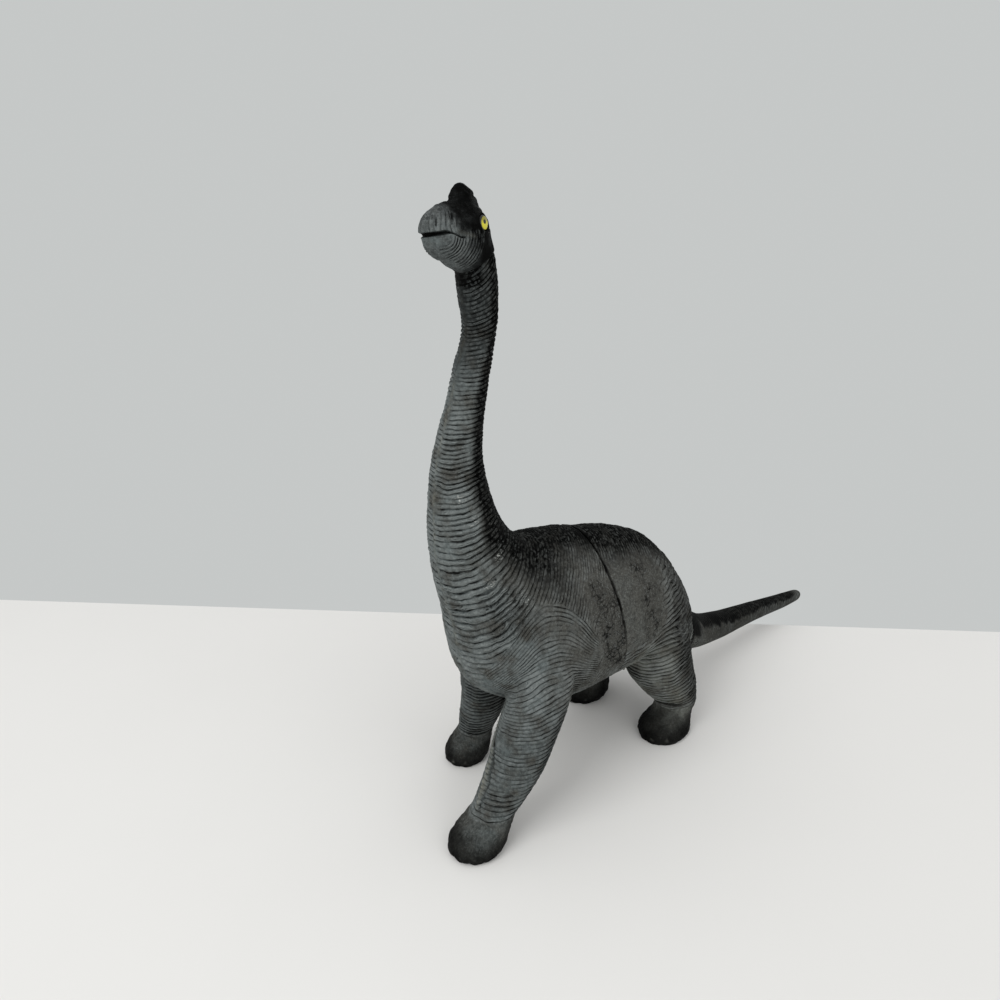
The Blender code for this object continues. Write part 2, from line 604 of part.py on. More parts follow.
def centre_over_origin(figure, pieces):
    """Move the figure so that the middle of its underside lies at the origin."""
    bpy.context.view_layer.update()
    corners = [piece.matrix_world @ Vector(corner) for piece in pieces for corner in piece.bound_box]
    low = Vector([min(corner[axis] for corner in corners) for axis in range(3)])
    high = Vector([max(corner[axis] for corner in corners) for axis in range(3)])
    figure.location = Vector((-(low.x + high.x) / 2, -(low.y + high.y) / 2, -low.z))
    bpy.context.view_layer.update()


def build():
    """Make every piece of the figure."""
    for old in list(bpy.data.objects):
        bpy.data.objects.remove(old)

    chest_vinyl = material("chest_vinyl", (0.36, 0.40, 0.42), 0.62)
    rump_vinyl = material("rump_vinyl", (0.37, 0.38, 0.38), 0.64)
    head_vinyl = material("head_vinyl", (0.33, 0.36, 0.37), 0.60)
    tail_vinyl = material("tail_vinyl", (0.22, 0.23, 0.24), 0.62)
    eye_gloss = material("eye_gloss", (0.90, 0.76, 0.10), 0.25)
    fibre = material("fibre_wadding", (0.90, 0.90, 0.88), 0.95)

    figure = add_carrier("figure", Vector())
    head_carrier = add_carrier("head_swivel", HEAD_SEAT, figure)
    head_carrier.rotation_mode = "AXIS_ANGLE"
    head_carrier.rotation_axis_angle = (HEAD_TURN, *HEAD_AXIS)
    tail_carrier = add_carrier("tail_swivel", TAIL_SEAT, figure)

    skin = body_skin()
    pieces = [
        add_piece("front_body", front_casting(skin), chest_vinyl, figure),
        add_piece("rear_body", rear_casting(skin), rump_vinyl, figure),
        add_piece("head", head_casting(), head_vinyl, head_carrier),
        add_piece("left_eye", eye_bead(1), eye_gloss, head_carrier),
        add_piece("right_eye", eye_bead(-1), eye_gloss, head_carrier),
        add_piece("tail", tail_casting(), tail_vinyl, tail_carrier),
    ]
    pieces += [add_piece(name, mesh, fibre, figure) for name, mesh in wads().items()]
    centre_over_origin(figure, pieces)


build()
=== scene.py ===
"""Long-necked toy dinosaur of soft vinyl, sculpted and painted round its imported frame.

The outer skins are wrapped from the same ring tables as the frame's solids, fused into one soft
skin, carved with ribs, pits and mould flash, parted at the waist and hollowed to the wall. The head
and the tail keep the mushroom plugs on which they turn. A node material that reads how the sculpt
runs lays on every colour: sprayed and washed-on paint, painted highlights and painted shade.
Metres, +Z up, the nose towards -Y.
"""
import json
import logging
import math
from collections.abc import Sequence
from dataclasses import dataclass, field, fields
from enum import Enum
from itertools import product

import bpy
import numpy as np
from mathutils import Matrix, Vector


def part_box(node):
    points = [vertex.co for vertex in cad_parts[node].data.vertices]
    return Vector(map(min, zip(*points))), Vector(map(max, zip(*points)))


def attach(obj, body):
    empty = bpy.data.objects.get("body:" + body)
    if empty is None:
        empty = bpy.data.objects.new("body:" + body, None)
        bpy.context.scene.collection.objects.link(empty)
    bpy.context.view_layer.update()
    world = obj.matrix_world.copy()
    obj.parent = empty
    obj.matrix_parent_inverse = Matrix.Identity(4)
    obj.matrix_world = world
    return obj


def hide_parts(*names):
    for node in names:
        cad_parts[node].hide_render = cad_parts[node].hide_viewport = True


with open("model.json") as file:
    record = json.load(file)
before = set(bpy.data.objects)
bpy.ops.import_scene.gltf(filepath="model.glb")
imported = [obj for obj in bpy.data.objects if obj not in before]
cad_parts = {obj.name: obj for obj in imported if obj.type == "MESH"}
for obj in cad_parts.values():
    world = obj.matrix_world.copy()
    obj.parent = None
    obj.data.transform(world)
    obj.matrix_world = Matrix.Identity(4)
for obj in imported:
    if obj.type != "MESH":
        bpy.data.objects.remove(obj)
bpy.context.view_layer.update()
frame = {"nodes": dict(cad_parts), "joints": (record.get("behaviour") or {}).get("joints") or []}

Array = np.ndarray
Object = bpy.types.Object
Table = tuple[tuple[float, ...], ...]
Colour = tuple[float, float, float]
Layers = tuple[tuple[float, float, int], ...]

UP = Vector((0, 0, 1))
DOWN = Vector((0, 0, -1))
OVERRUN = 0.004
MERGE_DISTANCE = 1e-7

log = logging.getLogger("toy_dinosaur")


class Side(Enum):
    """A side of the figure, as the sign of its X."""

    LEFT = 1
    RIGHT = -1


class Half(Enum):
    """One of the two hollow castings that meet at the waist."""

    FRONT = "front"
    REAR = "rear"


class Slot(Enum):
    """The record's material slots of the painted pieces."""

    CHEST = "chest_vinyl"
    RUMP = "rump_vinyl"
    HEAD = "head_vinyl"
    TAIL = "tail_vinyl"
    EYE = "eye_gloss"


# Sculptor's maths.


def ease(low: float | Array, high: float | Array, value: Array) -> Array:
    """Rise smoothly from 0 at low to 1 at high, or fall where low is the larger.

    Args:
        low: The value at which the result is 0.
        high: The value at which the result is 1.
        value: The values to weigh.

    Returns:
        A weight from 0 to 1 for each value.
    """
    share = np.clip((value - low) / (high - low), 0, 1)
    return share * share * (3 - 2 * share)


def bump(centre: float, width: float, value: Array) -> Array:
    """A soft bump of height 1 at a centre, which has died away two widths from it."""
    return np.exp(-(((value - centre) / width) ** 2))


def scatter(cells: Array, seed: int) -> Array:
    """A fixed random number from -1 to 1 for each cell of a lattice.

    Args:
        cells: Whole-numbered places, one row of three for each cell.
        seed: Which of the random sets to use.

    Returns:
        One number for each cell.
    """
    steps = cells.astype(np.int64)
    mixed = steps[:, 0] * 374761393 + steps[:, 1] * 668265263 + steps[:, 2] * 1440662683
    mixed = (mixed + seed * 974634777) & 0xFFFFFFFF
    mixed = ((mixed ^ (mixed >> 13)) * 1274126177) & 0xFFFFFFFF
    mixed = mixed ^ (mixed >> 16)
    return mixed / 2**31 - 1


def mottle(points: Array, size: float, seed: int) -> Array:
    """Soft random hills and hollows over space.

    Args:
        points: Places, one row of three for each.
        size: How far apart the hills lie.
        seed: Which of the random sets to use.

    Returns:
        A height from about -1 to 1 for each place.
    """
    grid = points / size
    base = np.floor(grid)
    share = grid - base
    share = share * share * (3 - 2 * share)
    total = np.zeros(len(points))
    for corner in product((0, 1), repeat=3):
        weight = np.prod(np.where(corner, share, 1 - share), axis=1)
        total += weight * scatter(base + np.array(corner), seed)
    return total


def layered(points: Array, layers: Layers) -> Array:
    """Several mottlings on top of one another, each with its height, size and seed."""
    return sum(height * mottle(points, size, seed) for height, size, seed in layers)


def groove(phase: Array) -> Array:
    """Depth of a run of creases, one at each whole number of the phase, with broad ribs between."""
    return (0.5 + 0.5 * np.cos(2 * np.pi * phase)) ** 1.9


def two_pitches(level: Array, below: float, above: float) -> Array:
    """Number creases downwards from a level, with one pitch below it and another above."""
    return -(np.minimum(level, 0) / below + np.maximum(level, 0) / above)


def smooth_rows(rows: Array, steps: int) -> Array:
    """Put more rows on a smooth curve through the given ones.

    Args:
        rows: Rows of numbers.
        steps: How many rows each gap between two rows is shared into.

    Returns:
        The finer rows, the last of the given ones at the end.
    """
    padded = np.vstack([rows[:1], rows, rows[-1:]])
    t = (np.arange(steps) / steps)[:, None]
    fine = [0.5 * (2 * b + (c - a) * t + (2 * a - 5 * b + 4 * c - d) * t**2
                   + (3 * b - a - 3 * c + d) * t**3)
            for a, b, c, d in zip(padded, padded[1:], padded[2:], padded[3:])]
    return np.vstack(fine + [rows[-1:]])


def slanted_row(middle: Sequence[float], radius: float, slope: float) -> tuple[float, ...]:
    """Row of a round ring in the mid-plane.

    Args:
        middle: The ring's middle, as place and level.
        radius: The ring's radius.
        slope: How steeply the ring rises to the back.

    Returns:
        Front place and level, back place and level, half width and fullness.
    """
    along, climb = math.cos(slope) * radius, math.sin(slope) * radius
    return (middle[0] - along, middle[1] - climb, middle[0] + along, middle[1] + climb, radius, 0.0)


def moved_row(row: Sequence[float], shift: Vector) -> tuple[float, ...]:
    """A ring's row moved by a shift, of which the place and level count."""
    return (row[0] + shift.y, row[1] + shift.z, row[2] + shift.y, row[3] + shift.z, *row[4:])


@dataclass
class RingRun:
    """A run of rings across the mid-plane, each from a front point to a back point."""

    rows: Array
    steps: int = 1

    def __post_init__(self) -> None:
        """Fill in the rows between the given ones."""
        self.fine = smooth_rows(np.array(self.rows, float), self.steps)

    def rings(self, sides: int, inset: float = 0.0) -> Array:
        """Points of every ring.

        Args:
            sides: Points on each ring.
            inset: How far the rings are drawn in.

        Returns:
            An array of rings by sides by three.
        """
        angle = 2 * np.pi * np.arange(sides) / sides
        middle = (self.fine[:, 0:2] + self.fine[:, 2:4]) / 2
        reach = (self.fine[:, 2:4] - self.fine[:, 0:2]) / 2
        reach = reach * (1 - inset / np.linalg.norm(reach, axis=1, keepdims=True))
        width, fullness = self.fine[:, 4:5] - inset, self.fine[:, 5:6]
        x = width * np.sin(angle) * (1 - fullness * np.cos(angle))
        y = middle[:, 0:1] + reach[:, 0:1] * np.cos(angle)
        z = middle[:, 1:2] + reach[:, 1:2] * np.cos(angle)
        return np.stack([x, y, z], axis=2)

    def locate(self, points: Array, chunk: int = 40000) -> tuple[Array, Array]:
        """Find which ring each point lies on.

        Args:
            points: Places, one row of three for each.
            chunk: How many points are worked on together.

        Returns:
            The ring as a running number, and the share of the way from its front to its back.
        """
        front, back = self.fine[:, 0:2], self.fine[:, 2:4]
        span = back - front
        length = np.linalg.norm(span, axis=1)
        run, across = np.empty(len(points)), np.empty(len(points))
        for start in range(0, len(points), chunk):
            flat = points[start:start + chunk, 1:3]
            offset = flat[:, None, :] - front[None, :, :]
            past = (span[:, 0] * offset[:, :, 1] - span[:, 1] * offset[:, :, 0]) / length
            ahead = past > 0
            first = np.clip(np.argmax(ahead, axis=1), 1, len(front) - 1)
            first = np.where(ahead.any(axis=1), first, len(front) - 1)
            pick = np.arange(len(flat))
            before, after = past[pick, first - 1], past[pick, first]
            share = np.clip(before / (before - after + 1e-12), 0, 1)
            run[start:start + chunk] = first - 1 + share
            along = (offset * span).sum(axis=2) / length**2
            across[start:start + chunk] = along[pick, first - 1] * (1 - share) + along[pick, first] * share
        return run, across


# Modelling bench.


class Bench:
    """Hand tools for one piece at a time."""

    @staticmethod
    def pick(*pieces: Object) -> None:
        """Select the given pieces alone, the first one active."""
        if bpy.context.mode != "OBJECT":
            bpy.ops.object.mode_set(mode="OBJECT")
        bpy.ops.object.select_all(action="DESELECT")
        for piece in pieces:
            piece.select_set(True)
        if pieces:
            bpy.context.view_layer.objects.active = pieces[0]

    @staticmethod
    def points(piece: Object, normals: bool = False) -> Array:
        """Places of a piece's points, or the directions in which its skin faces there."""
        source = piece.data.vertex_normals if normals else piece.data.vertices
        values = np.empty(len(piece.data.vertices) * 3, np.float32)
        source.foreach_get("vector" if normals else "co", values)
        return values.reshape(-1, 3).astype(float)

    @staticmethod
    def shape(piece: Object, points: Array) -> None:
        """Move a piece's points to the given places."""
        piece.data.vertices.foreach_set("co", points.astype(np.float32).ravel())
        piece.data.update()

    @staticmethod
    def store(piece: Object, name: str, values: Array) -> None:
        """Keep one number for each point of a piece, for its finish to read."""
        layer = piece.data.attributes.new(name, "FLOAT", "POINT")
        layer.data.foreach_set("value", values.astype(np.float32))

    @classmethod
    def modify(cls, piece: Object, kind: str, **settings: object) -> None:
        """Add one modifier, set it and apply it."""
        cls.pick(piece)
        bpy.ops.object.modifier_add(type=kind)
        modifier = piece.modifiers[-1]
        for name, value in settings.items():
            setattr(modifier, name, value)
        bpy.ops.object.modifier_apply(modifier=modifier.name)

    @classmethod
    def wrap(cls, name: str, rings: Array) -> Object:
        """Roll a sheet round a run of rings and close both of its ends.

        Args:
            name: The piece's name.
            rings: An array of rings by sides by three.

        Returns:
            A closed piece that faces outwards.
        """
        count, sides = rings.shape[:2]
        cls.pick()
        bpy.ops.mesh.primitive_grid_add(x_subdivisions=sides, y_subdivisions=count - 1, size=2)
        piece = bpy.context.object
        piece.name = piece.data.name = name
        sheet = cls.points(piece)
        column = np.rint((sheet[:, 0] + 1) / 2 * sides).astype(int) % sides
        row = np.rint((sheet[:, 1] + 1) / 2 * (count - 1)).astype(int)
        cls.shape(piece, rings[row, column])
        bpy.ops.object.mode_set(mode="EDIT")
        bpy.ops.mesh.select_all(action="SELECT")
        bpy.ops.mesh.remove_doubles(threshold=MERGE_DISTANCE)
        bpy.ops.mesh.select_all(action="SELECT")
        bpy.ops.mesh.fill_holes(sides=0)
        bpy.ops.mesh.select_all(action="SELECT")
        bpy.ops.mesh.normals_make_consistent(inside=False)
        bpy.ops.object.mode_set(mode="OBJECT")
        return piece

    @classmethod
    def turn(cls, name: str, profile: Sequence[tuple[float, float]], sides: int, place: Matrix) -> Object:
        """Turn a closed solid about Z from radius and height points, then place it."""
        angle = 2 * np.pi * np.arange(sides) / sides
        rings = np.array([[(radius * math.cos(a), radius * math.sin(a), height) for a in angle]
                          for radius, height in profile])
        piece = cls.wrap(name, rings)
        cls.settle(piece, place)
        return piece

    @classmethod
    def settle(cls, piece: Object, place: Matrix) -> None:
        """Move a piece's mesh to its place, so that its object stays at the origin."""
        piece.matrix_world = place
        cls.pick(piece)
        bpy.ops.object.transform_apply(location=True, rotation=True, scale=True)

    @classmethod
    def copy(cls, piece: Object, name: str) -> Object:
        """A copy of a piece with its own mesh."""
        cls.pick(piece)
        bpy.ops.object.duplicate(linked=False)
        twin = bpy.context.object
        twin.name = twin.data.name = name
        return twin

    @classmethod
    def join(cls, name: str, *pieces: Object) -> Object:
        """Put several pieces' meshes into the first one."""
        cls.pick(*pieces)
        bpy.ops.object.join()
        pieces[0].name = pieces[0].data.name = name
        return pieces[0]

    @classmethod
    def slice_off(cls, piece: Object, point: Vector, axis: Vector) -> None:
        """Remove what lies beyond a plane, on the side to which the axis points, and close the cut."""
        cls.pick(piece)
        bpy.ops.object.mode_set(mode="EDIT")
        bpy.ops.mesh.select_all(action="SELECT")
        bpy.ops.mesh.bisect(plane_co=point, plane_no=axis, use_fill=True, clear_outer=True,
                            threshold=MERGE_DISTANCE)
        bpy.ops.object.mode_set(mode="OBJECT")

    @classmethod
    def combine(cls, piece: Object, others: Sequence[Object], operation: str) -> None:
        """Join other pieces to a piece (UNION) or cut them out of it (DIFFERENCE), and use them up."""
        for other in others:
            cls.modify(piece, "BOOLEAN", operation=operation, object=other, solver="EXACT")
            bpy.data.objects.remove(other)

    @classmethod
    def soften(cls, piece: Object, grain: float, passes: int) -> None:
        """Fuse a piece's forms into one skin with faces of one size, and smooth it."""
        cls.modify(piece, "REMESH", mode="VOXEL", voxel_size=grain)
        cls.modify(piece, "SMOOTH", factor=0.5, iterations=passes)

    @classmethod
    def carve(cls, piece: Object, height: Array) -> None:
        """Move each point of a piece out of its skin by a height of its own."""
        normals = cls.points(piece, normals=True)
        cls.shape(piece, cls.points(piece) + normals * height[:, None])

    @classmethod
    def paint(cls, piece: Object, finish: bpy.types.Material) -> None:
        """Give a piece one finish alone."""
        piece.data.materials.clear()
        piece.data.materials.append(finish)

    @classmethod
    def shade(cls, piece: Object, angle: float = 50.0) -> None:
        """Shade a piece smooth, with its sharp rims kept."""
        cls.pick(piece)
        bpy.ops.object.shade_smooth_by_angle(angle=math.radians(angle))


# Node maths.


class Channel:
    """A node's output, on which Python's operators add Math nodes."""

    def __init__(self, graph: "Graph", socket: bpy.types.NodeSocket) -> None:
        """Wrap one socket of a graph."""
        self.graph, self.socket = graph, socket

    def __add__(self, other: "Channel | float") -> "Channel":
        """Sum."""
        return self.graph.maths("ADD", self, other)

    def __radd__(self, other: float) -> "Channel":
        """Reflected sum."""
        return self.graph.maths("ADD", other, self)

    def __sub__(self, other: "Channel | float") -> "Channel":
        """Difference."""
        return self.graph.maths("SUBTRACT", self, other)

    def __rsub__(self, other: float) -> "Channel":
        """Reflected difference."""
        return self.graph.maths("SUBTRACT", other, self)

    def __mul__(self, other: "Channel | float") -> "Channel":
        """Product."""
        return self.graph.maths("MULTIPLY", self, other)

    def __pow__(self, other: float) -> "Channel":
        """Power."""
        return self.graph.maths("POWER", self, other)

    def larger(self, other: "Channel | float") -> "Channel":
        """The larger of two values."""
        return self.graph.maths("MAXIMUM", self, other)

    def ease(self, low: float, high: float) -> "Channel":
        """Rise smoothly from 0 at low to 1 at high, or fall where low is the larger."""
        ends = (low, high, 0.0, 1.0) if low < high else (high, low, 1.0, 0.0)
        names = ("From Min", "From Max", "To Min", "To Max")
        return self.graph.node("ShaderNodeMapRange", {"interpolation_type": "SMOOTHSTEP"},
                               {"Value": self, **dict(zip(names, ends))})["Result"]


class Step:
    """A node whose outputs are read by name or number."""

    def __init__(self, graph: "Graph", node: bpy.types.Node) -> None:
        """Wrap one node of a graph."""
        self.graph, self.node = graph, node

    def __getitem__(self, output: str | int) -> Channel:
        """The named output as a channel."""
        return Channel(self.graph, self.node.outputs[output])


class Graph:
    """The nodes of one material, with its Principled shader."""

    def __init__(self, name: str) -> None:
        """Make a material of the given name."""
        self.material = bpy.data.materials.new(name)
        self.material.use_nodes = True
        self.tree = self.material.node_tree
        self.shader = self.tree.nodes["Principled BSDF"]

    def node(self, kind: str, settings: dict[str, object] | None = None,
             inputs: dict[str | int, object] | None = None) -> Step:
        """Add one node.

        Args:
            kind: The node's type.
            settings: Its own settings, which are set first.
            inputs: Values or channels for its sockets, by name or number.

        Returns:
            The node, to read its outputs from.
        """
        made = self.tree.nodes.new(kind)
        for name, value in (settings or {}).items():
            setattr(made, name, value)
        for name, value in (inputs or {}).items():
            self.feed(made.inputs[name], value)
        return Step(self, made)

    def feed(self, socket: bpy.types.NodeSocket, value: object) -> None:
        """Link a channel to a socket, or set a plain value on it."""
        if isinstance(value, Channel):
            self.tree.links.new(value.socket, socket)
        else:
            socket.default_value = value

    def maths(self, operation: str, first: Channel | float, second: Channel | float) -> Channel:
        """One Math node on two values."""
        return self.node("ShaderNodeMath", {"operation": operation}, {0: first, 1: second})["Value"]

    def sculpt(self, name: str) -> Channel:
        """A number that the sculpt keeps for each of its points."""
        return self.node("ShaderNodeAttribute", {"attribute_name": name})["Fac"]

    def place(self) -> Channel:
        """Where the surface lies, in metres."""
        return self.node("ShaderNodeTexCoord")["Object"]

    def cloud(self, size: float, detail: float = 3.0, stretch: Colour = (1, 1, 1)) -> Channel:
        """Soft random mottling, from 0 to 1.

        Args:
            size: How far apart its hills lie, in metres.
            detail: How many finer layers it has.
            stretch: How much it is squeezed along each axis.

        Returns:
            The mottling's height.
        """
        where = self.node("ShaderNodeMapping", None, {"Vector": self.place(), "Scale": stretch})["Vector"]
        return self.node("ShaderNodeTexNoise", None,
                         {"Vector": where, "Scale": 1 / size, "Detail": detail})[0]

    def cells(self, size: float) -> Channel:
        """Distance from the nearest edge between irregular scales, in scale widths."""
        warp = self.node("ShaderNodeTexNoise", None,
                         {"Vector": self.place(), "Scale": 0.7 / size, "Detail": 3.0})
        shift = self.node("ShaderNodeVectorMath", {"operation": "MULTIPLY_ADD"},
                          {0: warp["Color"], 1: (1.3 * size,) * 3, 2: self.place()})
        return self.node("ShaderNodeTexVoronoi", {"feature": "DISTANCE_TO_EDGE"},
                         {"Vector": shift["Vector"], "Scale": 1 / size})["Distance"]

    def blend(self, mask: Channel | float, under: Channel | Colour, over: Channel | Colour) -> Channel:
        """Lay one colour over another where a mask is 1."""
        colours = [linear(c) if isinstance(c, tuple) else c for c in (under, over)]
        return self.node("ShaderNodeMix", {"data_type": "RGBA", "clamp_factor": True},
                         {0: mask, 6: colours[0], 7: colours[1]})[2]

    def relief(self, height: Channel, depth: float) -> None:
        """Let a height stand out of the surface by a depth in metres."""
        made = self.node("ShaderNodeBump", None, {"Height": height, "Distance": depth, "Strength": 1.0})
        self.feed(self.shader.inputs["Normal"], made["Normal"])

    def finish(self, **inputs: object) -> bpy.types.Material:
        """Feed the shader's sockets, named with underscores for spaces, and give the material."""
        for name, value in inputs.items():
            self.feed(self.shader.inputs[name.replace("_", " ")], value)
        return self.material


def linear(colour: Colour) -> tuple[float, float, float, float]:
    """A colour as seen on screen, as the linear values that a socket takes."""
    return (*(((c + 0.055) / 1.055) ** 2.4 if c > 0.04045 else c / 12.92 for c in colour), 1.0)


# Finishes.


@dataclass(frozen=True)
class Vinyl:
    """Soft grey vinyl with blue-grey spray, dark paint and painted shade in creases, painted highlights on
    rib tops, and a black airbrushed top.
    """

    name: str
    grey: Colour = (0.300, 0.300, 0.284)
    spray: Colour = (0.362, 0.390, 0.390)
    # Lighter grey of the painted highlights on rib tops and bumps, and of pale specks.
    highlight_and_speck: Colour = (0.510, 0.528, 0.522)
    brown: Colour = (0.280, 0.262, 0.245)
    # Dark colour of the random dark mottling, and of the creases, where it is partly dark paint and partly
    # painted shade.
    wash_and_shade: Colour = (0.035, 0.037, 0.033)
    black: Colour = (0.012, 0.013, 0.012)
    flash: Colour = (0.50, 0.50, 0.46)
    scuff: Colour = (0.70, 0.71, 0.69)
    coarse_size: float = 0.006
    medium_size: float = 0.0032
    fine_size: float = 0.0011
    grain_size: float = 0.0004
    chip_size: float = 0.0008
    leather_size: float = 0.0017
    scale_size: float = 0.0007
    hair_rate: float = 2.6
    hair_wander: float = 3.0
    relief_depth: float = 0.00030
    roughness: float = 0.62
    shine: float = 0.045

    def crease(self, graph: Graph, phase: Channel, depth: Channel, sharpness: float = 3.0) -> Channel:
        """Sharp crease lines, one at each whole number of a phase."""
        turn = graph.maths("COSINE", phase * (2 * math.pi), 0.0)
        return (turn * 0.5 + 0.5) ** sharpness * depth

    def creases(self, graph: Graph, coarse: Channel, fine: Channel) -> tuple[Channel, Channel]:
        """Every dark line of the sculpt, and how far each place is ribbed.

        Args:
            graph: The material's graph.
            coarse: Coarse mottling.
            fine: Fine mottling.

        Returns:
            The lines' darkness, and the ribs' share.
        """
        families = [(graph.sculpt(name), graph.sculpt(name + "_depth")) for name in ("fold", "band")]
        (fold, fold_depth), (band, band_depth) = families
        crease = self.crease(graph, fold, fold_depth).larger(self.crease(graph, band, band_depth))
        hairs = [self.crease(graph, phase * self.hair_rate + coarse * self.hair_wander, depth, 2.0)
                 for phase, depth in families]
        hair = hairs[0].larger(hairs[1]) * fine.ease(0.38, 0.62)
        cracks = graph.cells(self.leather_size).ease(0.24, 0.02) * coarse.ease(0.32, 0.54)
        cracks = cracks.larger(graph.cells(self.scale_size).ease(0.32, 0.04) * fine.ease(0.42, 0.62) * 0.8)
        cracks = cracks * graph.sculpt("scaly")
        crease = crease.larger(graph.sculpt("pit")).larger(cracks * 0.54).larger(hair * 0.48)
        return crease, fold_depth.larger(band_depth).ease(0.08, 0.50)

    def material(self) -> bpy.types.Material:
        """The finish as a material.

        Returns:
            A material that reads the attributes which the castings store.
        """
        graph = Graph(self.name)
        coarse, medium = graph.cloud(self.coarse_size, 4.0), graph.cloud(self.medium_size, 3.0)
        fine, grain = graph.cloud(self.fine_size, 3.0), graph.cloud(self.grain_size, 2.0)
        crease, ribbed = self.creases(graph, coarse, fine)
        top = (1 - crease).ease(0.55, 1.0)
        # Painted highlights on the rib tops.
        glint = top * ribbed * (fine.ease(0.40, 0.70) * 0.5 + 0.5)
        # Creases darkened with dark paint and with painted shade.
        crease_wash_and_shade = crease.ease(0.10, 0.50) * (medium.ease(0.62, 0.36) * 0.55 + 0.40)
        bumps = graph.sculpt("scaly") * fine.ease(0.50, 0.66) * grain.ease(0.40, 0.60)
        # The black coat: black airbrush, and painted shade that the castings lay into the same attribute.
        airbrush = graph.sculpt("black") * (coarse * 0.5 + 0.78)
        # Painted highlights on rib tops inside the black, which lighten it.
        glint_in_black = top * ribbed * fine.ease(0.40, 0.62)
        chips = graph.cloud(self.chip_size, 1.0, (1.0, 1.0, 2.0)).ease(0.56, 0.62)

        colour = self.grey
        for mask, coat in (
                (graph.sculpt("spray") * coarse.ease(0.28, 0.60), self.spray),
                (medium.ease(0.50, 0.72) * 0.13, self.brown),
                (medium.ease(0.46, 0.30) * 0.22, self.wash_and_shade),
                (fine.ease(0.57, 0.40) * 0.34, self.wash_and_shade),
                (grain.ease(0.54, 0.70) * 0.30, self.highlight_and_speck),
                (glint * coarse.ease(0.30, 0.65) * 0.70, self.highlight_and_speck),
                (crease_wash_and_shade, self.wash_and_shade),
                (graph.sculpt("flash") * (fine.ease(0.25, 0.5) * 0.5 + 0.5), self.flash),
                (bumps * (1 - crease) * 0.42, self.highlight_and_speck),
                (airbrush * (1 - glint_in_black * 0.34), self.black),
                (chips * top * graph.sculpt("wear"), self.scuff)):
            colour = graph.blend(mask, colour, coat)

        graph.relief(top * 0.60 + fine * 0.26 + grain * 0.14, self.relief_depth)
        rough = self.roughness + (fine - 0.5) * 0.24 + crease * 0.15
        return graph.finish(Base_Color=colour, Roughness=rough, Specular_IOR_Level=self.shine)


@dataclass(frozen=True)
class EyeEnamel:
    """Glossy yellow enamel, olive above, with a black pupil and a dark edge."""

    name: str
    yellow: Colour = (0.80, 0.77, 0.16)
    olive: Colour = (0.52, 0.50, 0.12)
    black: Colour = (0.008, 0.008, 0.008)

    def material(self) -> bpy.types.Material:
        """The finish as a material that reads where each point lies on the bead."""
        graph = Graph(self.name)
        stain = graph.cloud(0.0009, 3.0)
        height = graph.sculpt("eye_height") + (stain - 0.5) * 0.5
        colour = graph.blend(height.ease(-0.1, 0.55), self.yellow, self.olive)
        colour = graph.blend(graph.sculpt("pupil").ease(1.08, 0.92), colour, self.black)
        colour = graph.blend(graph.sculpt("eye_edge").ease(0.79, 0.89), colour, self.black)
        return graph.finish(Base_Color=colour, Roughness=0.26 + stain * 0.10, Coat_Weight=0.2)


@dataclass(frozen=True)
class Wadding:
    """White polyester fibre, matted into a wad."""

    name: str
    white: Colour = (0.90, 0.90, 0.88)
    shade: Colour = (0.70, 0.70, 0.68)

    def material(self) -> bpy.types.Material:
        """The finish as a material."""
        graph = Graph(self.name)
        strands = graph.cloud(0.0008, 5.0, (1.0, 3.0, 1.0))
        clumps = graph.cloud(0.006, 3.0)
        colour = graph.blend(strands.ease(0.35, 0.7) * clumps.ease(0.2, 0.8), self.shade, self.white)
        graph.relief(strands, 0.0006)
        return graph.finish(Base_Color=colour, Roughness=0.95)


@dataclass(frozen=True)
class Card:
    """Smooth white card under the figure."""

    name: str
    white: Colour = (0.872, 0.87, 0.86)
    worn: Colour = (0.80, 0.80, 0.79)

    def material(self) -> bpy.types.Material:
        """The finish as a material."""
        graph = Graph(self.name)
        stain = graph.cloud(0.05, 3.0)
        colour = graph.blend(stain.ease(0.3, 0.8) * 0.05, self.white, self.worn)
        return graph.finish(Base_Color=colour, Roughness=0.8)


# Seats and plugs.


@dataclass(frozen=True)
class Seat:
    """A flat seat on which a casting turns: its middle, its axis and the snap-in plug's sizes."""

    middle: Vector
    axis: Vector
    lid: float
    stem_radius: float
    flange_radius: float
    flange_thickness: float
    clearance: float = 0.0003
    nose_share: float = 0.72
    sides: int = 32

    def upright(self) -> Matrix:
        """Turns +Z to the seat's axis."""
        return UP.rotation_difference(self.axis).to_matrix().to_4x4()

    def plug(self) -> Object:
        """Mushroom plug on a seat at the origin: a stem through the lid and a flange behind it."""
        lid_back = -self.lid - self.clearance
        flange_back = lid_back - self.flange_thickness
        profile = [(self.flange_radius * self.nose_share, flange_back),
                   (self.flange_radius, flange_back + self.flange_thickness / 2),
                   (self.flange_radius, lid_back),
                   (self.stem_radius, lid_back),
                   (self.stem_radius, OVERRUN / 2)]
        return Bench.turn("plug", profile, self.sides, self.upright())

    def hole(self) -> Object:
        """The round hole through the lid, in place."""
        radius = self.stem_radius + self.clearance
        profile = [(radius, -2 * self.lid), (radius, 2 * self.lid)]
        return Bench.turn("hole", profile, self.sides, Matrix.Translation(self.middle) @ self.upright())

    def mount(self, piece: Object) -> None:
        """Cut a piece off flat just above the seat, which is at its origin, and give it the plug."""
        Bench.slice_off(piece, self.axis * self.clearance * 0.5, -self.axis)
        Bench.combine(piece, [self.plug()], "UNION")


# Creases, strokes and the survey of a casting.


def rib_luck(phase: Array, seed: int) -> Array:
    """How deep each single crease happens to be, from shallow to full."""
    number = np.rint(phase)
    flat = np.zeros(len(phase))
    return 0.80 + 0.28 * scatter(np.stack([number, flat, flat], axis=1), seed)


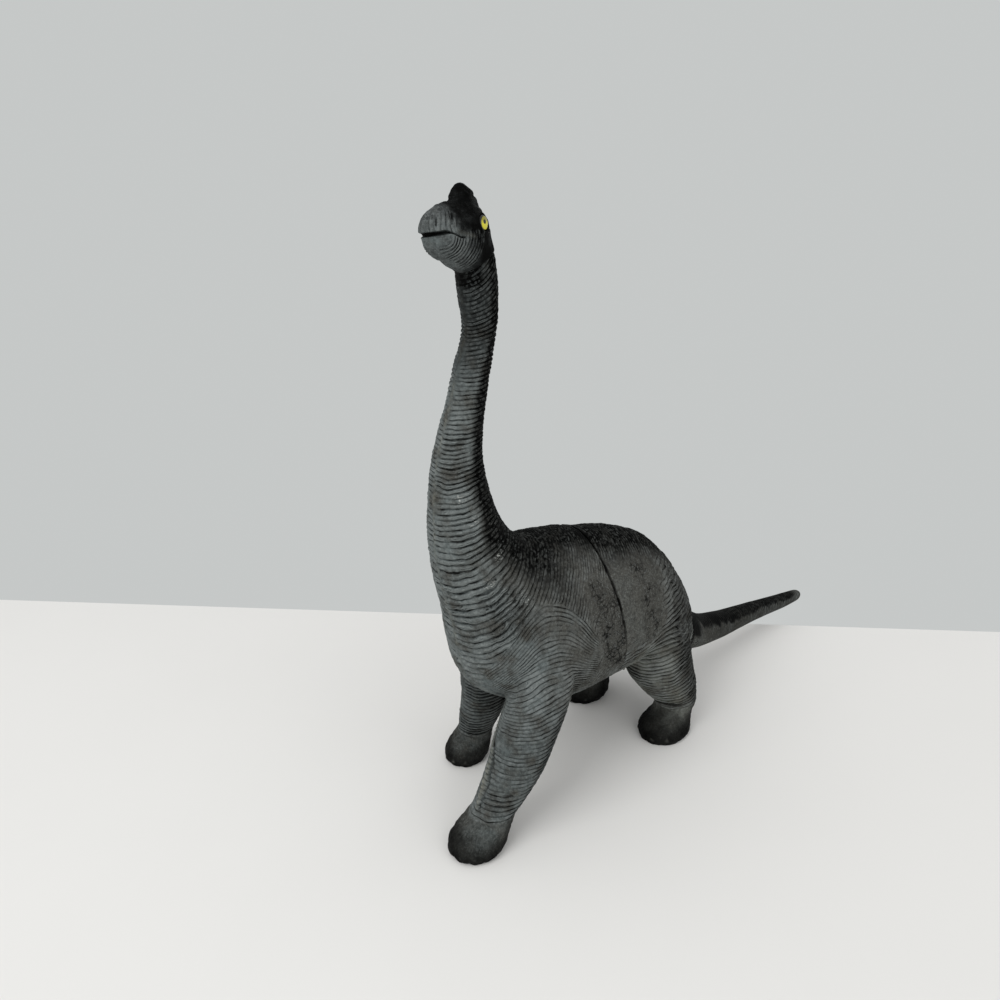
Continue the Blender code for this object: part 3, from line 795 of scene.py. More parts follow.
@dataclass(frozen=True)
class Stroke:
    """One short crease pressed into the sculpt, from a start to an end, all in millimetres.

    A depth below 0 raises a crumb of flash. The last number darkens the crease with dark paint and painted
    shade, and below 0 leaves it as pale as flash.
    """

    start: tuple[float, float, float]
    end: tuple[float, float, float]
    width: float = 0.4
    depth: float = 0.4
    wash_and_shade: float = 1.0

    def reach(self, points: Array) -> Array:
        """How much each point belongs to the crease."""
        start, end = np.array(self.start) / 1000, np.array(self.end) / 1000
        way = end - start
        share = np.clip((points - start) @ way / (way @ way), 0, 1)
        return bump(0.0, self.width / 1000, np.linalg.norm(points - start - share[:, None] * way, axis=1))


HEAD_STROKES = (
    Stroke((2.65, -15.5, 11.6), (2.98, -16.4, 9.6), 0.20, 0.20, 0.70),
    Stroke((1.56, -15.6, 12.4), (1.95, -16.3, 11.5), 0.20, 0.15, 0.50),
    Stroke((3.74, -15.2, 10.1), (3.82, -15.6, 8.9), 0.20, 0.15, 0.45),
    Stroke((4.25, -13.8, 10.7), (4.46, -14.3, 9.3), 0.20, 0.15, 0.60),
    Stroke((4.35, -11.2, 12.0), (4.70, -11.9, 10.9), 0.36, 0.18, 0.80),
    Stroke((4.80, -12.1, 10.4), (5.03, -12.6, 9.6), 0.26, 0.15, 0.50),
    Stroke((5.00, -10.2, 11.3), (5.53, -11.4, 9.0), 0.24, 0.12, 0.40),
    Stroke((5.60, -9.1, 10.4), (5.90, -10.0, 8.3), 0.24, 0.12, 0.40),
    Stroke((5.40, -11.0, 7.7), (6.70, -5.8, 5.7), 0.55, -0.12, -0.35),
)
FRONT_STROKES = (
    Stroke((21.4, -41.3, 19.8), (22.6, -39.0, 19.2)),
    Stroke((16.0, -49.2, 10.9), (20.4, -47.2, 10.4), 0.45, 0.5),
    Stroke((13.0, 7.0, 77.4), (15.6, 8.6, 79.4), 0.25, 0.35),
    Stroke((21.0, -3.5, 68.5), (21.2, -1.0, 66.0), 0.3, 0.3),
    Stroke((20.4, 1.0, 71.0), (20.9, 3.6, 69.2), 0.25, 0.3),
    Stroke((22.0, 4.0, 57.0), (21.8, 5.0, 52.0), 0.3, 0.3),
    Stroke((19.6, 5.4, 73.2), (20.6, 6.6, 69.6), 0.3, 0.3),
    Stroke((20.8, -0.5, 61.0), (21.6, 2.5, 59.5), 0.3, 0.3),
    Stroke((0.3, -39.9, 59.6), (-0.6, -39.7, 59.2), 0.6, -1.0, -1.0),
    Stroke((9.3, -31.8, 43.5), (9.0, -34.0, 34.5), 3.0, 1.1, 0.0),
)
SCUFFS = (
    (11.6, -30.6, 97.2), (16.0, -25.3, 81.8), (12.2, -35.4, 89.3), (9.6, -37.9, 110.0), (7.2, -40.6, 116.6),
)
REAR_STROKES = (
    Stroke((22.3, 14.2, 47.6), (22.4, 18.2, 51.2), 0.32, 0.35, 0.8),
    Stroke((21.2, 15.4, 44.6), (22.0, 22.3, 48.0), 0.32, 0.35, 0.8),
    Stroke((22.4, 14.0, 51.0), (22.5, 16.4, 53.2), 0.28, 0.3, 0.7),
    Stroke((19.6, 17.2, 67.0), (19.2, 18.4, 68.4), 0.30, 0.3, 0.8),
    Stroke((20.2, 22.0, 64.6), (20.6, 22.8, 63.0), 0.30, 0.3, 0.8),
    Stroke((20.9, 24.4, 61.2), (20.4, 26.0, 62.4), 0.30, 0.3, 0.8),
    Stroke((20.6, 22.0, 61.0), (21.2, 23.8, 59.6), 0.35, 0.3),
    Stroke((19.6, 18.0, 67.6), (20.2, 19.6, 66.4), 0.3, 0.25),
    Stroke((16.8, 16.2, 38.6), (17.6, 17.4, 37.6), 0.5, -0.7, -1.0),
)


RIB_WANDER: Layers = ((0.48, 0.012, 1), (0.27, 0.0048, 2), (0.16, 0.002, 6))
ARCH_WANDER: Layers = ((0.46, 0.009, 4), (0.28, 0.004, 5))
RUMP_WANDER: Layers = ((0.52, 0.011, 21), (0.28, 0.0045, 22), (0.10, 0.002, 23))
JOWL_WANDER: Layers = ((0.26, 0.003, 31), (0.16, 0.0013, 38))
TAIL_WANDER: Layers = ((0.35, 0.007, 41), (0.20, 0.003, 42))
PATCHES: Layers = ((0.45, 0.0045, 3), (0.25, 0.0017, 27))
MIST: Layers = ((1.0, 0.010, 11), (0.5, 0.003, 12))
HEAD_MIST: Layers = ((1.0, 0.004, 35), (0.5, 0.0015, 36))
PEBBLES: Layers = ((0.00013, 0.0015, 61), (0.00008, 0.0009, 62))
FOOT_LUMPS: Layers = ((0.00011, 0.0024, 15), (0.00008, 0.0011, 16))
KEPT_FOR_PAINT = (
    "fold", "fold_depth", "band", "band_depth", "pit", "scaly", "flash", "black", "spray", "wear",
)


@dataclass
class Survey:
    """What the sculpt and the paint do at each point of a casting.

    The folds and the bands are two families of creases, each with its running number and its depth.
    """

    points: Array
    fold: Array
    fold_depth: Array
    band: Array
    band_depth: Array
    pit: Array
    scaly: Array
    # flash: pale mould flash and nails, and painted highlights on the hind shins and on top of the feet.
    flash: Array
    swell: Array
    # black: black airbrush, and painted shade in gaps, in hollows, on the far foreleg and on the backs of the
    # legs.
    black: Array
    # spray: blue-grey spray, and painted highlights on top of the feet.
    spray: Array
    wear: Array
    rib: Array
    room: Array
    across: Array
    behind: Array
    patchy: Array
    misty: Array

    @classmethod
    def blank(cls, points: Array) -> "Survey":
        """A survey in which nothing has been sculpted or painted yet."""
        return cls(points, *(np.zeros(len(points)) for _ in fields(cls)[1:]))

    def lay(self, name: str, values: Array) -> None:
        """Lay values over one of the survey's lists wherever they are the larger."""
        setattr(self, name, np.maximum(getattr(self, name), values))

    def press(self, strokes: Sequence[Stroke]) -> None:
        """Press single strokes into the sculpt, each with its own wash."""
        for stroke in strokes:
            reach = stroke.reach(self.points)
            self.swell -= stroke.depth / 1000 * reach
            self.lay("pit", stroke.wash_and_shade * reach)
            self.lay("flash", -stroke.wash_and_shade * reach)

    def scuff(self, places: Sequence[tuple[float, float, float]], width: float) -> None:
        """Wear the paint off round some places, given in millimetres."""
        for place in places:
            far = np.linalg.norm(self.points - np.array(place) / 1000, axis=1)
            self.lay("wear", bump(0.0, width, far))

    def height(self, crease: float) -> Array:
        """How far each point is raised out of the plain form.

        Args:
            crease: Depth of a full crease.

        Returns:
            Heights in metres, below 0 in the creases.
        """
        fold, band = groove(self.fold) * self.fold_depth, groove(self.band) * self.band_depth
        return self.swell - crease * np.maximum(fold, band) - 0.5 * crease * self.pit

    def store(self, piece: Object) -> None:
        """Keep the survey on a piece for its finish to read."""
        for name in KEPT_FOR_PAINT:
            Bench.store(piece, name, np.clip(getattr(self, name), -1000, 1000))


# Where the sculpt's regions begin and end.


@dataclass(frozen=True)
class Fade:
    """A soft edge along some measure of the figure, 0 at its first value and 1 at its second."""

    off: float
    on: float

    def __call__(self, value: Array) -> Array:
        """The edge's weight at each value."""
        return ease(self.off, self.on, value)


@dataclass(frozen=True)
class FrontMarks:
    """Edges on the front casting: levels and places in metres, and shares of the way to the back."""

    throat_ribs: Fade = Fade(0.157, 0.167)
    arch_wrap: Fade = Fade(0.060, 0.045)
    arch_bend: Fade = Fade(0.036, 0.062)
    shoulder_front: Fade = Fade(-0.0400, -0.0335)
    shoulder_rear: Fade = Fade(0.004, -0.003)
    shoulder_inner: Fade = Fade(0.003, 0.010)
    leg_top: Fade = Fade(0.036, 0.030)
    leather_start: Fade = Fade(-0.0155, -0.0085)
    leather_low: Fade = Fade(0.16, 0.34)
    leather_high: Fade = Fade(0.86, 0.72)
    seam_width: Fade = Fade(0.0016, 0.0006)
    seam_share: Fade = Fade(0.55, 0.35)
    rib_crossing: Fade = Fade(0.30, 0.70)
    neck_ribs: Fade = Fade(0.10, 0.13)
    shin_ribs: Fade = Fade(0.052, 0.040)
    rib_ends: Fade = Fade(0.118, 0.100)
    back_share: Fade = Fade(0.84, 0.95)
    back_level: Fade = Fade(0.11, 0.095)
    neck: Fade = Fade(0.088, 0.104)
    nape: Fade = Fade(0.38, 0.60)
    nape_widening: Fade = Fade(0.115, 0.140)
    saddle_width: Fade = Fade(0.0165, 0.0070)
    saddle_share: Fade = Fade(0.6, 0.8)
    withers_share: Fade = Fade(0.46, 0.82)
    withers_front: Fade = Fade(0.002, -0.014)
    throat_shadow_level: Fade = Fade(0.1708, 0.1742)
    throat_shadow_share: Fade = Fade(0.55, 0.25)
    dark_neck: Fade = Fade(0.140, 0.163)
    far_leg_shade: Fade = Fade(-0.006, -0.011)
    far_leg_shade_top: Fade = Fade(0.052, 0.042)
    near_leg: Fade = Fade(0.006, 0.011)
    near_leg_top: Fade = Fade(0.046, 0.036)
    spray_share: Fade = Fade(0.62, 0.30)
    spray_chest: Fade = Fade(-0.010, -0.026)


@dataclass(frozen=True)
class RearMarks:
    """Edges on the rear casting: levels and places in metres, and shares of the way to the back."""

    dorsal: Fade = Fade(0.82, 0.94)
    sweep_low: Fade = Fade(0.045, 0.020)
    haunch_wrap: Fade = Fade(0.028, 0.045)
    thigh_front: Fade = Fade(0.034, 0.024)
    rump_ribs: Fade = Fade(0.034, 0.046)
    thigh_ribs: Fade = Fade(0.050, 0.040)
    smooth_end: Fade = Fade(0.0125, 0.0065)
    back_share: Fade = Fade(0.84, 0.95)
    saddle_width: Fade = Fade(0.0175, 0.0080)
    saddle_share: Fade = Fade(0.6, 0.8)
    rump_end: Fade = Fade(0.048, 0.058)
    haunch_rear: Fade = Fade(0.030, 0.047)
    haunch_low: Fade = Fade(0.026, 0.046)


@dataclass(frozen=True)
class LegMarks:
    """Edges on a leg: levels and widths in metres, and turns round the leg from its front.

    The foot's, the sole's and the ankle's levels are measured from the ankle.
    """

    skin_end: Fade = Fade(1.8, 1.3)
    top: Fade = Fade(0.052, 0.040)
    foot: Fade = Fade(0.0005, -0.0030)
    sole: Fade = Fade(-0.0008, -0.0060)
    ankle_top: Fade = Fade(0.0, 0.004)
    ankle_inner: Fade = Fade(-1.5, -0.8)
    ankle_outer: Fade = Fade(1.5, 0.5)
    seam_low: Fade = Fade(0.011, 0.016)
    seam_high: Fade = Fade(0.047, 0.041)
    calm_high: Fade = Fade(0.040, 0.034)
    calm_low: Fade = Fade(0.018, 0.024)
    calm_inner: Fade = Fade(-0.3, 0.1)
    calm_outer: Fade = Fade(1.7, 1.2)
    back_ribs: Fade = Fade(1.35, 1.9)
    cleft_top: Fade = Fade(0.0066, 0.0040)
    cleft_reach: Fade = Fade(0.75, 0.95)
    back_paint_and_shade: Fade = Fade(1.1, 2.0)
    back_paint_and_shade_top: Fade = Fade(0.046, 0.036)
    shin: Fade = Fade(1.5, 0.7)
    nail: Fade = Fade(0.00075, 0.00035)
    nail_bare: Fade = Fade(0.00075, 0.00040)


# The body's form.


NECK_SHARES: Table = (
    (1.000, -0.721, 1.00, 1.00), (0.942, -0.703, 1.01, 0.77), (0.874, -0.692, 0.96, 0.50),
    (0.805, -0.688, 0.87, 0.30), (0.738, -0.722, 0.87, 0.20), (0.655, -0.792, 0.93, 0.13),
    (0.561, -0.860, 0.98, 0.13), (0.468, -0.932, 1.10, 0.17), (0.374, -0.985, 1.25, 0.20),
    (0.281, -1.001, 1.43, 0.27), (0.184, -0.993, 1.66, 0.43),
)
TRUNK_SHARES: Table = (
    (-0.413, 1.045, -0.207, 1.148, 0.252, 0.04), (-0.399, 0.862, -0.167, 1.048, 0.284, 0.07),
    (-0.376, 0.677, -0.115, 0.982, 0.338, 0.09), (-0.358, 0.492, -0.055, 0.962, 0.410, 0.11),
    (-0.329, 0.300, 0.009, 0.943, 0.458, 0.13), (-0.236, 0.154, 0.073, 0.915, 0.484, 0.14),
    (-0.127, 0.046, 0.141, 0.877, 0.496, 0.14), (-0.009, 0.008, 0.218, 0.840, 0.500, 0.14),
    (0.109, 0.000, 0.295, 0.788, 0.500, 0.12), (0.227, 0.000, 0.377, 0.711, 0.491, 0.12),
    (0.345, -0.031, 0.448, 0.594, 0.456, 0.10), (0.445, -0.085, 0.508, 0.431, 0.396, 0.06),
    (0.507, -0.135, 0.552, 0.265, 0.312, 0.02),
)
FORE_LEG_SHARES: Table = (
    (0.000, 0.00, 1.00, 0.76, 0.81), (0.020, 0.00, 1.00, 0.86, 0.92), (0.050, 0.00, 0.95, 0.91, 0.98),
    (0.095, 0.00, 0.71, 0.88, 0.95), (0.145, 0.00, 0.31, 0.80, 0.86), (0.200, 0.03, 0.00, 0.74, 0.76),
    (0.290, 0.22, 0.00, 0.80, 0.89), (0.400, 0.41, 0.00, 0.87, 1.00), (0.520, 0.55, 0.00, 0.93, 1.02),
    (0.640, 0.65, 0.00, 0.99, 1.12), (0.800, 0.84, 0.00, 0.90, 1.20), (0.900, 0.93, 0.00, 0.78, 1.14),
    (1.000, 1.00, 0.00, 0.60, 1.00), (1.130, 1.00, 0.00, 0.38, 0.74),
)
HIND_LEG_SHARES: Table = (
    (0.000, 0.00, 1.00, 0.71, 0.80), (0.025, 0.00, 1.00, 0.79, 0.88), (0.055, 0.00, 0.98, 0.81, 0.90),
    (0.110, 0.00, 0.78, 0.75, 0.84), (0.175, 0.00, 0.28, 0.63, 0.69), (0.250, 0.02, 0.00, 0.65, 0.70),
    (0.350, 0.24, 0.00, 0.79, 0.86), (0.457, 0.50, 0.00, 0.90, 1.02), (0.610, 0.86, 0.00, 0.98, 1.18),
    (0.780, 1.00, 0.00, 0.96, 1.20), (0.950, 1.00, 0.00, 0.82, 1.12), (1.090, 1.00, 0.00, 0.62, 0.92),
    (1.230, 1.00, 0.00, 0.40, 0.62),
)


@dataclass
class LegSkin:
    """How the points of a casting lie on one leg.

    The rise is measured from the ankle, and the turn round the leg from its front to its outside.
    """

    rise: Array
    out: Array
    turn: Array
    mine: Array
    foot: Array
    crease: Array


@dataclass(frozen=True)
class Leg:
    """One leg: its ankle's and hip's places, its toe's lead and its girth."""

    side: Side
    half: Half
    ankle: tuple[float, float]
    hip: tuple[float, float]
    lead: float
    radius: float
    height: float
    shares: Table
    marks: LegMarks = LegMarks()
    toe_radius: float = 0.0017
    toe_inset: float = 0.0014
    toe_spread: float = math.radians(34)
    toe_steps: tuple[float, ...] = (-1.5, -0.5, 0.5, 1.5)
    toe_level_share: float = 0.75
    toe_sides: int = 20
    toe_rings: int = 12
    nail_out: float = 0.0006
    nail_level: float = 0.0024
    cleft_steps: tuple[int, ...] = (-1, 0, 1)
    cleft_turn: float = 0.06
    ankle_level: float = 0.0120
    ankle_crease: float = 0.0
    ankle_width: float = 0.00085
    # Where the painted highlight on top of the foot lies: its turn round the leg, its drop below the ankle
    # and its reach.
    instep_highlight_turn: float = 0.80
    instep_highlight_drop: float = 0.0028
    instep_highlight_reach: float = 0.0050
    seam_turn: float = -0.22
    seam_climb: float = 15.0
    seam_foot: float = 0.0154
    flash: float = 1.0
    mist: float = 0.24
    # Strength of the painted highlight on the shin and on top of the foot.
    shin_highlight: float = 0.0
    calm: float = 0.45

    def axis(self, steps: int) -> Array:
        """Level, middle left and back, half width and half length of each ring."""
        rows = smooth_rows(np.array(self.shares), steps)
        level, climb, toe, width, length = rows.T
        x = self.ankle[0] + (self.hip[0] - self.ankle[0]) * climb
        y = self.ankle[1] + (self.hip[1] - self.ankle[1]) * climb - self.lead * toe
        return np.stack([level * self.height, x, y, self.radius * width, self.radius * length], axis=1)

    def rings(self, steps: int, sides: int, inset: float = 0.0) -> Array:
        """Level rings from just below the sole up into the trunk."""
        rows = self.axis(steps)
        rows = np.vstack([rows[:1], rows])
        rows[0, 0] = -OVERRUN
        angle = 2 * np.pi * np.arange(sides) / sides
        level, x, y, width, length = (column[:, None] for column in rows.T)
        return np.stack([x + (width - inset) * np.cos(angle), y + (length - inset) * np.sin(angle),
                         level + 0 * angle], axis=2)

    def toe_places(self, past: float, level: float) -> list[tuple[float, float, float]]:
        """Places round the front of the foot, one for each toe, at a distance past its edge."""
        ahead, aside = self.radius * self.shares[1][4] + past, self.radius * self.shares[1][3] + past
        return [(self.ankle[0] + aside * math.sin(self.toe_spread * step),
                 self.ankle[1] - self.lead - ahead * math.cos(self.toe_spread * step), level)
                for step in self.toe_steps]

    def toes(self) -> list[Object]:
        """Round toe tips along the front of the foot."""
        made = []
        for place in self.toe_places(-self.toe_inset, self.toe_radius * self.toe_level_share):
            Bench.pick()
            bpy.ops.mesh.primitive_uv_sphere_add(segments=self.toe_sides, ring_count=self.toe_rings,
                                                 radius=self.toe_radius, location=place)
            toe = bpy.context.object
            Bench.settle(toe, toe.matrix_world.copy())
            made.append(toe)
        return made

    def locate(self, points: Array) -> tuple[Array, Array]:
        """How far out from the leg's axis each point lies, in radii, and in which direction."""
        rows = self.axis(4)
        level = points[:, 2]
        middle = [np.interp(level, rows[:, 0], rows[:, column]) for column in (1, 2, 3, 4)]
        aside, back = points[:, 0] - middle[0], points[:, 1] - middle[1]
        return np.hypot(aside / middle[2], back / middle[3]), np.arctan2(aside * self.side.value, -back)

    # The leg's sculpt.

    def survey(self, found: Survey) -> None:
        """Add this leg's ankle, flash, toes and paint to the survey of its casting."""
        skin = self.skin(found)
        self.survey_ankle(found, skin)
        if self.half is Half.FRONT:
            self.survey_flash(found, skin)
        self.survey_shin(found, skin)
        self.survey_toes(found, skin)
        self.survey_paint(found, skin)

    def skin(self, found: Survey) -> LegSkin:
        """Work out how the points of a casting lie on this leg.

        Args:
            found: The survey of the casting's points.

        Returns:
            The leg's own measures of each point.
        """
        marks, level = self.marks, found.points[:, 2]
        rise = level - self.ankle_level
        out, turn = self.locate(found.points)
        mine = (found.points[:, 0] * self.side.value > 0) * marks.skin_end(out) * marks.top(level)
        tilted = rise - 0.0009 * np.cos(turn - 0.6)
        crease = bump(0.0, self.ankle_width, tilted + 0.0006 * found.misty)
        crease = crease * marks.ankle_inner(turn) * marks.ankle_outer(turn) * (mine * self.ankle_crease)
        return LegSkin(rise, out, turn, mine, mine * marks.foot(rise), crease)

    def survey_ankle(self, found: Survey, skin: LegSkin) -> None:
        """The pebbled foot without ribs, and the crease over its ankle."""
        found.fold_depth *= 1 - 0.94 * skin.foot
        found.band_depth *= 1 - 0.94 * skin.foot
        found.lay("pit", skin.crease)
        found.scaly = np.maximum(found.scaly * (1 - skin.foot), 0.50 * skin.foot)
        found.swell -= 0.00065 * skin.crease

    def survey_flash(self, found: Survey, skin: LegSkin) -> None:
        """Knobbly mould flash down the outside of the leg, with a crease beside it."""
        level, marks = found.points[:, 2], self.marks
        ragged = np.clip(0.5 + 0.8 * mottle(found.points, 0.0015, 8), 0, 1)
        line = self.seam_turn - self.seam_climb * (np.clip(level, 0.012, 0.045) - self.seam_foot)
        past = skin.turn - (line + 0.07 * mottle(found.points, 0.003, 17))
        seam = skin.mine * self.flash * marks.seam_low(level) * marks.seam_high(level)
        flash = seam * bump(0.0, 0.10, past) * (0.30 + 0.70 * (1 - groove(found.band)) * ragged)
        found.lay("flash", flash)
        found.lay("pit", 0.85 * seam * bump(0.20, 0.07, past) * (0.4 + 0.6 * ragged))
        found.swell += 0.00060 * flash
        found.black *= 1 - flash

    def survey_shin(self, found: Survey, skin: LegSkin) -> None:
        """Shallow ribs on the outer shin and deep ones at the back of the leg."""
        level, marks = found.points[:, 2], self.marks
        calm = skin.mine * marks.calm_high(level) * marks.calm_low(level)
        calm = calm * marks.calm_inner(skin.turn) * marks.calm_outer(skin.turn)
        depth = (1 - self.calm * calm) * (1 + 0.5 * (skin.mine * marks.back_ribs(np.abs(skin.turn))))
        found.fold_depth *= depth
        found.band_depth *= depth

    def survey_toes(self, found: Survey, skin: LegSkin) -> None:
        """Shallow clefts between the toes, and lumps all over the foot."""
        low = self.marks.cleft_top(found.points[:, 2])
        for step in self.cleft_steps:
            cleft = skin.mine * bump(step * self.toe_spread, self.cleft_turn, skin.turn) * low
            cleft = cleft * self.marks.cleft_reach(skin.out)
            found.lay("pit", 0.22 * cleft)
            found.swell -= 0.00010 * cleft
        found.swell += skin.foot * layered(found.points, FOOT_LUMPS)

    def survey_paint(self, found: Survey, skin: LegSkin) -> None:
        """Black foot, black paint and painted shade on the back of the leg, blue-grey shin, painted
        highlights on the instep and the hind shin, and pale nails.
        """
        marks, mine, turn, misty = self.marks, skin.mine, skin.turn, found.misty
        # Painted highlight on top of the foot: it lightens the black sole and lays blue-grey and flash there.
        instep_highlight = bump(0.0, 1.0, turn - self.instep_highlight_turn * self.side.value)
        instep_highlight = instep_highlight * bump(-self.instep_highlight_drop, self.instep_highlight_reach, skin.rise)
        instep_highlight = instep_highlight * np.clip(0.82 + 0.5 * misty, 0, 1)
        sole = mine * marks.sole(skin.rise + 0.0022 * misty)
        found.lay("black", sole * (0.94 - (0.72 + 0.4 * self.shin_highlight) * instep_highlight))
        found.lay("black", 0.80 * mine * skin.crease)
        # Black on the back of the leg: partly black paint and partly painted shade.
        found.lay("black", mine * 0.62 * marks.back_paint_and_shade(np.abs(turn)) * marks.back_paint_and_shade_top(found.points[:, 2]))
        shin = mine * marks.shin(np.abs(turn - 0.35)) * marks.ankle_top(skin.rise)
        found.lay("spray", shin * np.clip(self.mist + 0.6 * misty, 0, 1))
        found.spray = np.maximum(found.spray * (1 - skin.foot), skin.foot * instep_highlight)
        # Painted highlight on the hind shins, laid on as flash.
        found.lay("flash", self.shin_highlight * shin * np.clip(0.7 + 0.8 * misty, 0, 1))
        found.lay("flash", (0.06 + self.shin_highlight) * skin.foot * instep_highlight)
        for nail in self.toe_places(self.nail_out, self.nail_level):
            spot = np.linalg.norm((found.points - np.array(nail)) * (1, 1, 0.8), axis=1)
            found.lay("flash", 0.45 * marks.nail(spot))
            found.black *= 1 - 0.6 * marks.nail_bare(spot)


@dataclass
class Body:
    """Neck, trunk and legs: two hollow castings parted at the waist."""

    origin: Vector
    head_seat: Seat
    tail_seat: Seat
    front: FrontMarks = FrontMarks()
    rear: RearMarks = RearMarks()
    belly_height: float = 0.030
    trunk_depth: float = 0.065
    trunk_length: float = 0.110
    trunk_width: float = 0.0444
    neck_height: float = 0.0855
    neck_reach: float = 0.0358
    neck_thickness: float = 0.0119
    head_lean: float = math.radians(30)
    tail_root_radius: float = 0.0086
    tail_slope: float = math.atan2(0.0195, 0.0870)
    wall: float = 0.0018
    sole: float = 0.0026
    clearance: float = 0.0003
    waist: Vector = field(default_factory=lambda: Vector((0, 0.0113, 0.074)))
    waist_lean: float = math.radians(-4)
    waist_edge_width: float = 0.00046
    waist_edge_depth: float = 0.00030
    spigot_length: float = 0.004
    spigot_root: float = 0.003
    fore_leg_height: float = 0.055
    hind_leg_height: float = 0.046
    neck_pitch: float = 0.00130
    throat_climb: float = 0.30
    throat_middle: float = -0.026
    chest_pitch: float = 0.00190
    belly_pitch: float = 0.00155
    rump_pitch: float = 0.00185
    hock_pitch: float = 0.00150
    rump_climb: float = 0.12
    rump_foot: float = 0.042
    thigh_level: float = 0.041
    thigh_reach: float = 0.007
    leg_pitch: float = 0.00148
    wrap_share: float = 0.8
    arch_pitch: float = 0.00155
    arch_middle: float = -0.020
    arch_aside: float = 0.0175
    arch_foot: float = 0.045
    arch_top: float = 0.0785
    arch_bend_front: float = 70.0
    arch_bend_rear: float = 45.0
    sweep_place: float = 0.018
    sweep_level: float = 0.081
    sweep_shift: float = 0.012
    sweep_start: float = 0.0165
    sweep_delay: float = 0.0175
    rib_end: float = 0.0009
    rib_end_width: float = 0.0004
    flash_width: float = 0.00045
    scuff_reach: float = 0.0014
    armpit_shade_centre: tuple[float, float, float] = (0.0158, -0.0290, 0.0780)
    armpit_shade_reach: float = 0.0080
    crease_depth: float = 0.00076
    grain: float = 0.00026
    plain_grain: float = 0.0009
    smoothing: int = 6
    faces_wanted: int = 325000
    thinning_room: float = 0.00003
    quick_grain: float = 0.00055
    quick_faces: int = 120000
    ring_steps: int = 6
    ring_sides: int = 96
    leg_steps: int = 5
    leg_sides: int = 64
    core_steps: int = 2
    core_sides: int = 48
    boot_sides: int = 32

    def __post_init__(self) -> None:
        """Lay out the rings and the legs."""
        self.waist_axis = Vector((0, math.cos(self.waist_lean), -math.sin(self.waist_lean)))
        self.run = RingRun(self.rows(), self.ring_steps)
        left, right, front, rear = Side.LEFT, Side.RIGHT, Half.FRONT, Half.REAR
        fore, hind = (self.fore_leg_height, FORE_LEG_SHARES), (self.hind_leg_height, HIND_LEG_SHARES)
        # The hind legs also carry a painted highlight on the shin.
        ball = {"ankle_level": 0.0136, "ankle_crease": 1.0, "mist": 0.80, "shin_highlight": 0.38, "calm": 0.10}
        self.legs = [
            Leg(left, front, (0.0151, -0.0415), (0.0165, -0.0180), 0.0068, 0.0102, *fore),
            Leg(right, front, (-0.0218, -0.0188), (-0.0130, -0.0155), 0.0047, 0.0086, *fore, flash=0.15),
            Leg(left, rear, (0.0177, 0.0456), (0.0131, 0.0392), 0.0062, 0.0114, *hind, **ball),
            Leg(right, rear, (-0.0202, 0.0415), (-0.0156, 0.0345), 0.0062, 0.0114, *hind, **ball),
        ]
        self.count_ribs()

    def rows(self) -> list[tuple[float, ...]]:
        """Ring rows from just past the head's seat down the neck and back past the tail's."""
        shoulder = self.belly_height + self.trunk_depth
        neck = [slanted_row((self.neck_reach * reach, shoulder + self.neck_height * height),
                            self.neck_thickness * thickness / 2, self.head_lean * lean)
                for height, reach, thickness, lean in NECK_SHARES]
        trunk = [(self.trunk_length * front_y, self.belly_height + self.trunk_depth * front_z,
                  self.trunk_length * back_y, self.belly_height + self.trunk_depth * back_z,
                  self.trunk_width * width, fullness)
                 for front_y, front_z, back_y, back_z, width, fullness in TRUNK_SHARES]
        tail = self.tail_seat
        rump = slanted_row(tail.middle.yz, self.tail_root_radius, math.pi / 2 - self.tail_slope)
        return [moved_row(neck[0], self.head_seat.axis * OVERRUN), *neck, *trunk, rump,
                moved_row(rump, tail.axis * OVERRUN)]

    def count_ribs(self) -> None:
        """Number the ribs along the run of rings, fine on the neck and coarse on the chest."""
        fine = self.run.fine
        track = fine[:, 0:2] * 0.6 + fine[:, 2:4] * 0.4
        gap = np.linalg.norm(np.diff(track, axis=0), axis=1)
        level = (track[:-1, 1] + track[1:, 1]) / 2
        coarse, belly = ease(0.135, 0.085, level), ease(-0.034, -0.024, (track[:-1, 0] + track[1:, 0]) / 2)
        pitch = self.neck_pitch * (1 - coarse) + self.chest_pitch * coarse * (1 - belly)
        pitch = pitch + self.belly_pitch * coarse * belly
        self.rib_number = np.concatenate([[0], np.cumsum(gap / pitch)])
        self.rib_gap = np.stack([np.linalg.norm(np.gradient(fine[:, 0:2], axis=0), axis=1),
                                 np.linalg.norm(np.gradient(fine[:, 2:4], axis=0), axis=1)])
        self.rib_gap = self.rib_gap / np.gradient(self.rib_number)

    # The sculpt.

    def survey(self, points: Array, half: Half) -> Survey:
        """Work out what the sculpt does at each point of one casting.

        Args:
            points: Places in the figure's own frame.
            half: The casting to which they belong.

        Returns:
            The sculpt's survey of the points.
        """
        found = Survey.blank(points)
        run, found.across = self.run.locate(points)
        steps = np.arange(len(self.rib_number))
        found.rib = np.interp(run, steps, self.rib_number)
        found.rib += layered(points, RIB_WANDER)
        room = (np.interp(run, steps, self.rib_gap[0]) * (1 - found.across)
                + np.interp(run, steps, self.rib_gap[1]) * found.across)
        found.room = np.clip(room / self.chest_pitch, 0.45, 1.0)
        found.behind = self.behind_waist(points)
        found.patchy = 0.74 + layered(points, PATCHES)
        found.misty = layered(points, MIST)
        if half is Half.FRONT:
            limb = self.front_ribs(found)
            self.front_relief(found)
            self.front_paint(found, limb)
        else:
            smooth_skin = self.rear_ribs(found)
            self.rear_relief(found)
            self.rear_paint(found, smooth_skin)
        for leg in self.legs:
            if leg.half is half:
                leg.survey(found)
        self.waist_groove_and_shade(found)
        found.swell += layered(points, PEBBLES)
        found.press(FRONT_STROKES if half is Half.FRONT else REAR_STROKES)
        return found

    def behind_waist(self, points: Array) -> Array:
        """How far behind the waist's plane each point lies, below 0 in front of it."""
        return (points - np.array(self.waist)) @ np.array(self.waist_axis)

